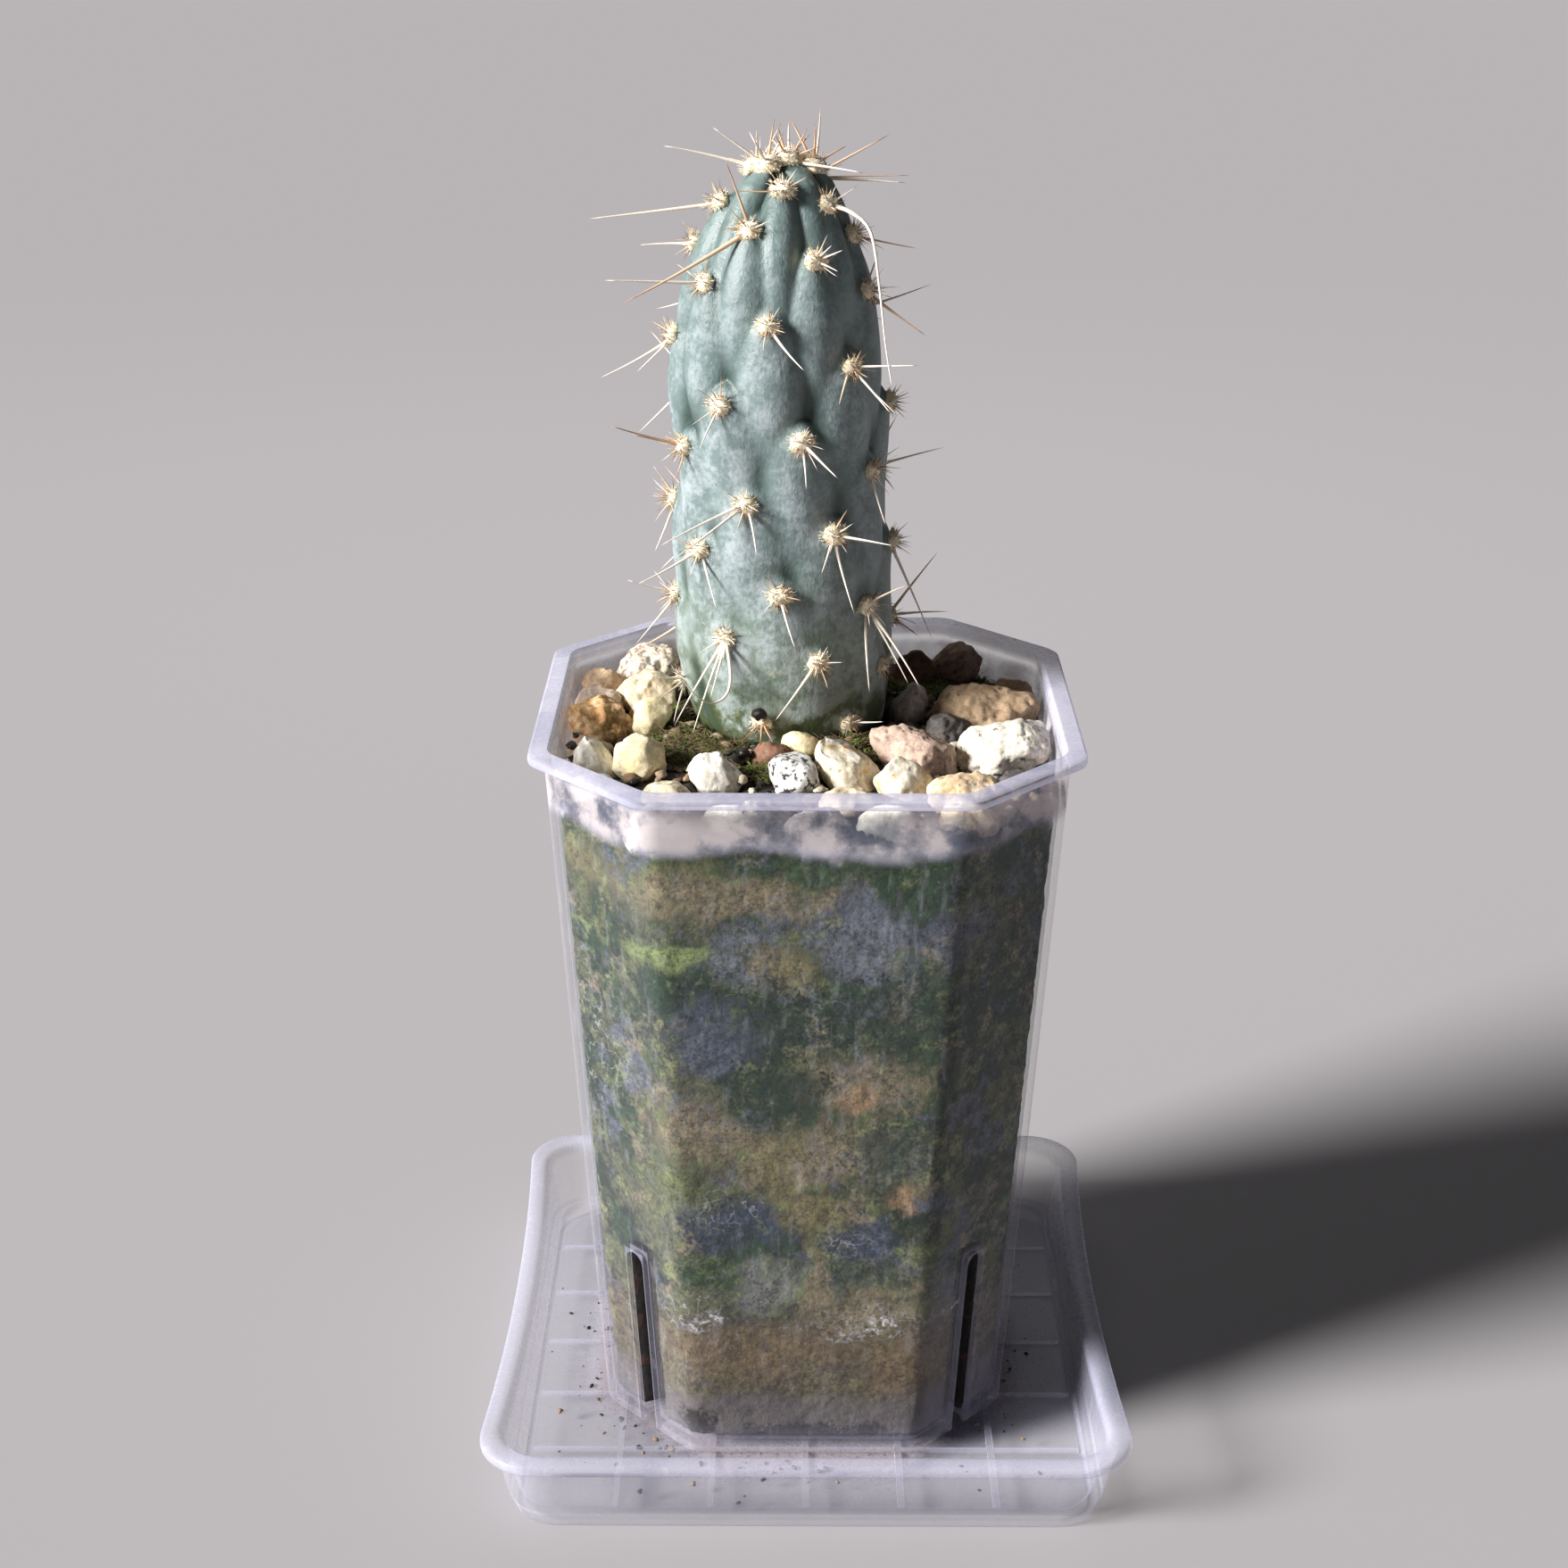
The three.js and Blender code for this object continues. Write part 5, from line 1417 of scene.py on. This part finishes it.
stone_materials = {kind: stone_material(kind) for kind in STONE_KINDS}
record_slots = {piece["node"]: piece["material_slot"] for piece in frame["record"]["subparts"]}
worn_stones = []
for stone_number, stone_node in enumerate(STONES):
    worn_stones.append(make_worn_stone(stone_node, stone_number))
    place_piece(worn_stones[-1], stone_materials[STONES[stone_node][0]], record_slots[stone_node], stone_node)

# Litter and moss: crumbs of bark, pumice and grit that lie on the soil and have washed out on to the
# saucer, fine dead roots, and short moss where the soil stays damp.
BALL_LEVEL = 2
SOIL_CRUMBS = 560
SAUCER_GRAINS = 190
# No crumb or moss lies nearer to the stem's middle than this
STEM_CLEARANCE = 14.2
# Tries at a plant or a root in a patch of 1 mm radius
MOSS_TRIES = 55
# Crumbs that show one by one: place in mm, length, tone from dark bark to pale pumice
CRUMBS_AT = [
    ((-9.3, -8.4, 97.0), 2.3, 0.02), ((-8.5, -7.2, 97.5), 1.9, 0.0), ((-10.2, -6.4, 97.1), 1.7, 0.05),
    ((-31.0, -3.2, 96.9), 2.2, 0.0), ((-30.6, -1.4, 97.6), 1.6, 0.03), ((-6.4, -3.6, 101.4), 2.2, 0.03),
    ((-8.4, -14.6, 96.6), 1.8, 0.75), ((-18.8, -12.2, 96.4), 1.9, 0.6), ((-15.6, -13.2, 96.2), 1.7, 0.5),
    ((-12.8, -11.0, 96.3), 1.5, 0.4), ((13.8, 3.6, 96.9), 1.8, 0.1), ((16.2, 14.6, 96.6), 2.0, 0.25),
    ((9.2, -4.4, 97.0), 1.7, 0.2), ((-2.6, -9.4, 96.9), 1.8, 0.3), ((20.4, 15.8, 96.9), 1.5, 0.4),
]
# Moss patches: middle in x and y, radius, share of green
MOSS_AT = [
    (-14.3, 0.4, 7.0, 0.25), (-13.0, -6.5, 4.5, 0.3), (-4.9, -10.6, 3.0, 0.75), (-3.4, -9.4, 1.8, 1.0),
    (4.6, 0.6, 5.0, 0.45), (15.6, 20.6, 3.4, 0.9), (13.5, 1.5, 3.4, 0.35), (-19.5, 9.6, 3.0, 0.4),
    (9.0, -6.6, 2.8, 0.5), (-2.0, 27.0, 6.0, 0.7), (24.0, 21.0, 5.0, 0.5), (-15.0, 22.0, 5.0, 0.5),
]


def tree_of(piece):
    return BVHTree.FromObject(piece, bpy.context.evaluated_depsgraph_get())


def open_soil(soil_tree, stone_trees, x, y):
    """The soil's place under a point, or nothing where the wall, the stem or a stone stands there."""
    half, cut = pot_size(SOIL_LEVEL, WALL + 0.7)
    across, along_y = abs(x - POT_MIDDLE[0]), abs(y - POT_MIDDLE[1])
    if max(across, along_y) > half or across + along_y > 2 * half - cut:
        return None
    if math.hypot(x - STEM_AXIS_X[1][1], y - STEM_Y) < STEM_CLEARANCE:
        return None
    start, down = Vector((x, y, POT_TOP + 6.1)) * MM, Vector((0, 0, -1))
    if any(tree.ray_cast(start, down)[0] for tree in stone_trees):
        return None
    hit = soil_tree.ray_cast(start, down)[0]
    return hit / MM if hit and hit.z > (SOIL_LEVEL - 4.2) * MM else None


def crumb_shape():
    """The points and faces of one small ball."""
    ball = bmesh.new()
    bmesh.ops.create_icosphere(ball, subdivisions=BALL_LEVEL, radius=1.0)
    points = np.array([tuple(vert.co) for vert in ball.verts])
    faces = np.array([[vert.index for vert in face.verts] for face in ball.faces])
    ball.free()
    return points, faces


def make_crumbs(name, places):
    """Broken grains in one mesh, each a ball pushed out of round. Places: middle, length, tone."""
    draw = random.Random(len(places))
    ball, ball_faces = crumb_shape()
    points, faces, tones = [], [], []
    for number, (middle, length, tone) in enumerate(places):
        shift = Vector((number * 1.37, number * 0.71, 0))
        reach = np.array([1 + 0.55 * noise.noise(Vector(point) * 1.3 + shift) for point in ball])
        sizes = np.array([1, draw.uniform(0.5, 0.9), draw.uniform(0.35, 0.7)]) * length / 2
        turn = Matrix.Rotation(draw.uniform(0, 2 * math.pi), 3, "Z")
        turn = turn @ Matrix.Rotation(draw.uniform(-0.5, 0.5), 3, "X")
        points.append(np.array(middle) + (ball * reach[:, None] * sizes) @ np.array(turn).T)
        faces.append(ball_faces + number * len(ball))
        tones += [tone] * len(ball)
    piece = mesh_piece(name, np.concatenate(points), np.concatenate(faces).tolist())
    keep_values(piece, "tone", tones)
    return piece


def make_soil_crumbs(soil_tree, stone_trees):
    draw = random.Random(61)
    places = list(CRUMBS_AT)
    while len(places) < SOIL_CRUMBS:
        x, y = draw.uniform(-32, 32), draw.uniform(-32, 33)
        hit = open_soil(soil_tree, stone_trees, x, y)
        if hit:
            length = 0.7 + 1.5 * draw.random() ** 2
            places.append(((hit.x, hit.y, hit.z + 0.2 * length), length, draw.random() ** 2.2))
    return make_crumbs("soil_crumbs", places)


def make_saucer_grit():
    """Grit lies along the pot's foot, thickest next to it, with a few grains further out."""
    draw = random.Random(67)
    half, cut = pot_size(POT_BASE)
    places = []
    while len(places) < SAUCER_GRAINS:
        x, y = draw.uniform(-37, 37), draw.uniform(-37, 37)
        across, along_y = abs(x - POT_MIDDLE[0]), abs(y - POT_MIDDLE[1])
        away = max(across - half, along_y - half, (across + along_y - 2 * half + cut) / math.sqrt(2))
        if away < 0.6 or draw.random() > math.exp(-(away - 0.6) / 1.6) + 0.03:
            continue
        length = 0.3 + 0.75 * draw.random() ** 3
        places.append(((x, y, SAUCER_FLOOR_TOP + 0.25 * length), length, 0.6 * draw.random() ** 2))
    return make_crumbs("saucer_grit", places)


def crumb_material():
    material, finish, shader = new_material("crumbs")
    place = finish.place()
    tone = finish.kept("tone")
    grain = finish.cloud(place, 0.5, 4, 0.7)
    dark = finish.blend(tone.rise(0.0, 0.25), (0.012, 0.010, 0.009), (0.085, 0.05, 0.028))
    pale = finish.blend(tone.rise(0.5, 0.9), (0.30, 0.20, 0.12), (0.62, 0.55, 0.44))
    colour = finish.blend(tone.rise(0.2, 0.5), dark, pale)
    finish.feed(shader.inputs["Base Color"], finish.shaded(colour, grain.rise(0.3, 0.7, 0.65, 1.25)))
    finish.feed(shader.inputs["Roughness"], tone.rise(0.0, 0.1, 0.35, 0.9))
    finish.feed(shader.inputs["Normal"], finish.bump(grain, 0.6, 0.2))
    return material


def make_moss(soil_tree, stone_trees):
    """Upright moss leaves in the patches, and fine dead roots that lie over the soil."""
    draw = random.Random(53)
    blades = Growth()
    for middle_x, middle_y, radius, green in MOSS_AT:
        for _ in range(int(MOSS_TRIES * radius ** 1.5)):
            reach, turn = radius * math.sqrt(draw.random()), draw.uniform(0, 2 * math.pi)
            x, y = middle_x + reach * math.cos(turn), middle_y + reach * math.sin(turn)
            hit = open_soil(soil_tree, stone_trees, x, y)
            if not hit:
                continue
            is_root = draw.random() < 0.3
            for _ in range(1 if is_root else 4):
                angle = draw.uniform(0, 2 * math.pi)
                level = Vector((math.cos(angle), math.sin(angle), 0))
                foot = hit + level * 0.25
                if is_root:
                    length = draw.uniform(1.6, 4.0)
                    curl = level.orthogonal() * draw.uniform(-0.6, 0.6)
                    line = []
                    for t in (0, 0.3, 0.6, 1):
                        lift = Vector((0, 0, 0.35 + 0.5 * t * (1 - t) * length))
                        line.append(foot + level * (length * t) + curl * (length * t * t) + lift)
                    blades.add_line(line, 0.06, 0.0, taper=0.5)
                else:
                    length = draw.uniform(0.5, 1.3)
                    way = (Vector((0, 0, 1)) + level * draw.uniform(0.2, 1.1)).normalized()
                    tone = 0.55 + 0.45 * draw.random() if draw.random() < green else 0.2 + 0.3 * draw.random()
                    tip = foot + way * length + level * (0.3 * length)
                    blades.add_line([foot, foot + way * (0.6 * length), tip], 0.10, tone, taper=0.5)
    return blades.piece("moss")


def moss_material():
    material, finish, shader = new_material("moss")
    place = finish.place()
    tone = finish.kept("tone")
    run = finish.kept("run")
    olive = finish.blend(run, (0.045, 0.040, 0.014), (0.14, 0.125, 0.04))
    green = finish.blend(run, (0.035, 0.06, 0.008), (0.20, 0.30, 0.03))
    leaf = finish.blend(tone.rise(0.5, 0.6), olive, green)
    colour = finish.blend(tone.rise(0.05, 0.2), (0.16, 0.10, 0.055), leaf)
    finish.feed(shader.inputs["Base Color"], colour)
    finish.feed(shader.inputs["Roughness"], finish.cloud(place, 1.0).rise(0.3, 0.7, 0.6, 0.85))
    return material


soil_tree = tree_of(bpy.data.objects["soil_body"])
stone_trees = [tree_of(stone) for stone in worn_stones]
crumb_finish = crumb_material()
place_piece(make_soil_crumbs(soil_tree, stone_trees), crumb_finish, "soil", "substrate")
place_piece(make_moss(soil_tree, stone_trees), moss_material(), "soil", "substrate")
place_piece(make_saucer_grit(), crumb_finish, "soil", "saucer")

# Floor: a plain pale surface under the saucer, not part of the object. It is matt, so that the
# window leaves no glare on it.
FLOOR_HALF = 8000.0
floor_corners = [(FLOOR_HALF * x, FLOOR_HALF * y, 0) for x, y in ((-1, -1), (1, -1), (1, 1), (-1, 1))]
floor = mesh_piece("floor", floor_corners, [(0, 1, 2, 3)])
floor.location.z = -0.02 * MM
floor_finish, _, floor_shader = new_material("floor_paper")
floor_shader.inputs["Base Color"].default_value = (0.42, 0.405, 0.42, 1)
floor_shader.inputs["Roughness"].default_value = 1.0
floor_shader.inputs["Specular IOR Level"].default_value = 0.0
floor.data.materials.append(floor_finish)

# Light: a soft low sun through a window on the left in front, a weak panel behind, a pale room.
# The sun's wide disc gives shadows the soft edge that they have in the photograph.
SUN_FROM = (-520, -215, 280)
PANEL_FROM = (-60, 420, 520)
PANEL_SIZE = 400
sun = bpy.data.lights.new("window", "SUN")
sun.angle = math.radians(17)
sun.energy = 7.9
sun.color = (1.0, 0.985, 0.96)
panel = bpy.data.lights.new("panel_0", "AREA")
panel.size = PANEL_SIZE * MM
panel.energy = 0.4
for lamp, place, target in ((sun, SUN_FROM, (0, 0, 0)), (panel, PANEL_FROM, (0, 0, 100))):
    holder = bpy.data.objects.new(lamp.name, lamp)
    holder.location = Vector(place) * MM
    holder.rotation_euler = (Vector(target) - Vector(place)).to_track_quat("-Z", "Y").to_euler()
    bpy.context.scene.collection.objects.link(holder)
room = bpy.data.worlds.new("room")
room.use_nodes = True
room.node_tree.nodes["Background"].inputs["Color"].default_value = (0.82, 0.80, 0.84, 1)
room.node_tree.nodes["Background"].inputs["Strength"].default_value = 0.042
bpy.context.scene.world = room
bpy.context.scene.view_settings.view_transform = "Standard"

# Camera: a little above the plant, looking down into the pot, as the photograph does. A pinhole
# camera fitted to the rim, the base and the saucer gave its place, tilt and lens.
CAMERA_PLACE = (-2.26, -312.1, 216.55)
CAMERA_DOWN = math.radians(22.04)
CAMERA_LEFT = math.radians(0.17)
CAMERA_ROLL = math.radians(0.117)
camera = bpy.data.objects.new("camera", bpy.data.cameras.new("camera"))
camera.data.lens = 58.09
camera.data.sensor_width = 36.0
aim = Matrix.Rotation(CAMERA_LEFT, 4, "Z") @ Matrix.Rotation(math.pi / 2 - CAMERA_DOWN, 4, "X")
camera.matrix_world = Matrix.Translation(Vector(CAMERA_PLACE) * MM) @ aim
camera.matrix_world = camera.matrix_world @ Matrix.Rotation(CAMERA_ROLL, 4, "Z")
bpy.context.scene.collection.objects.link(camera)
bpy.context.scene.camera = camera
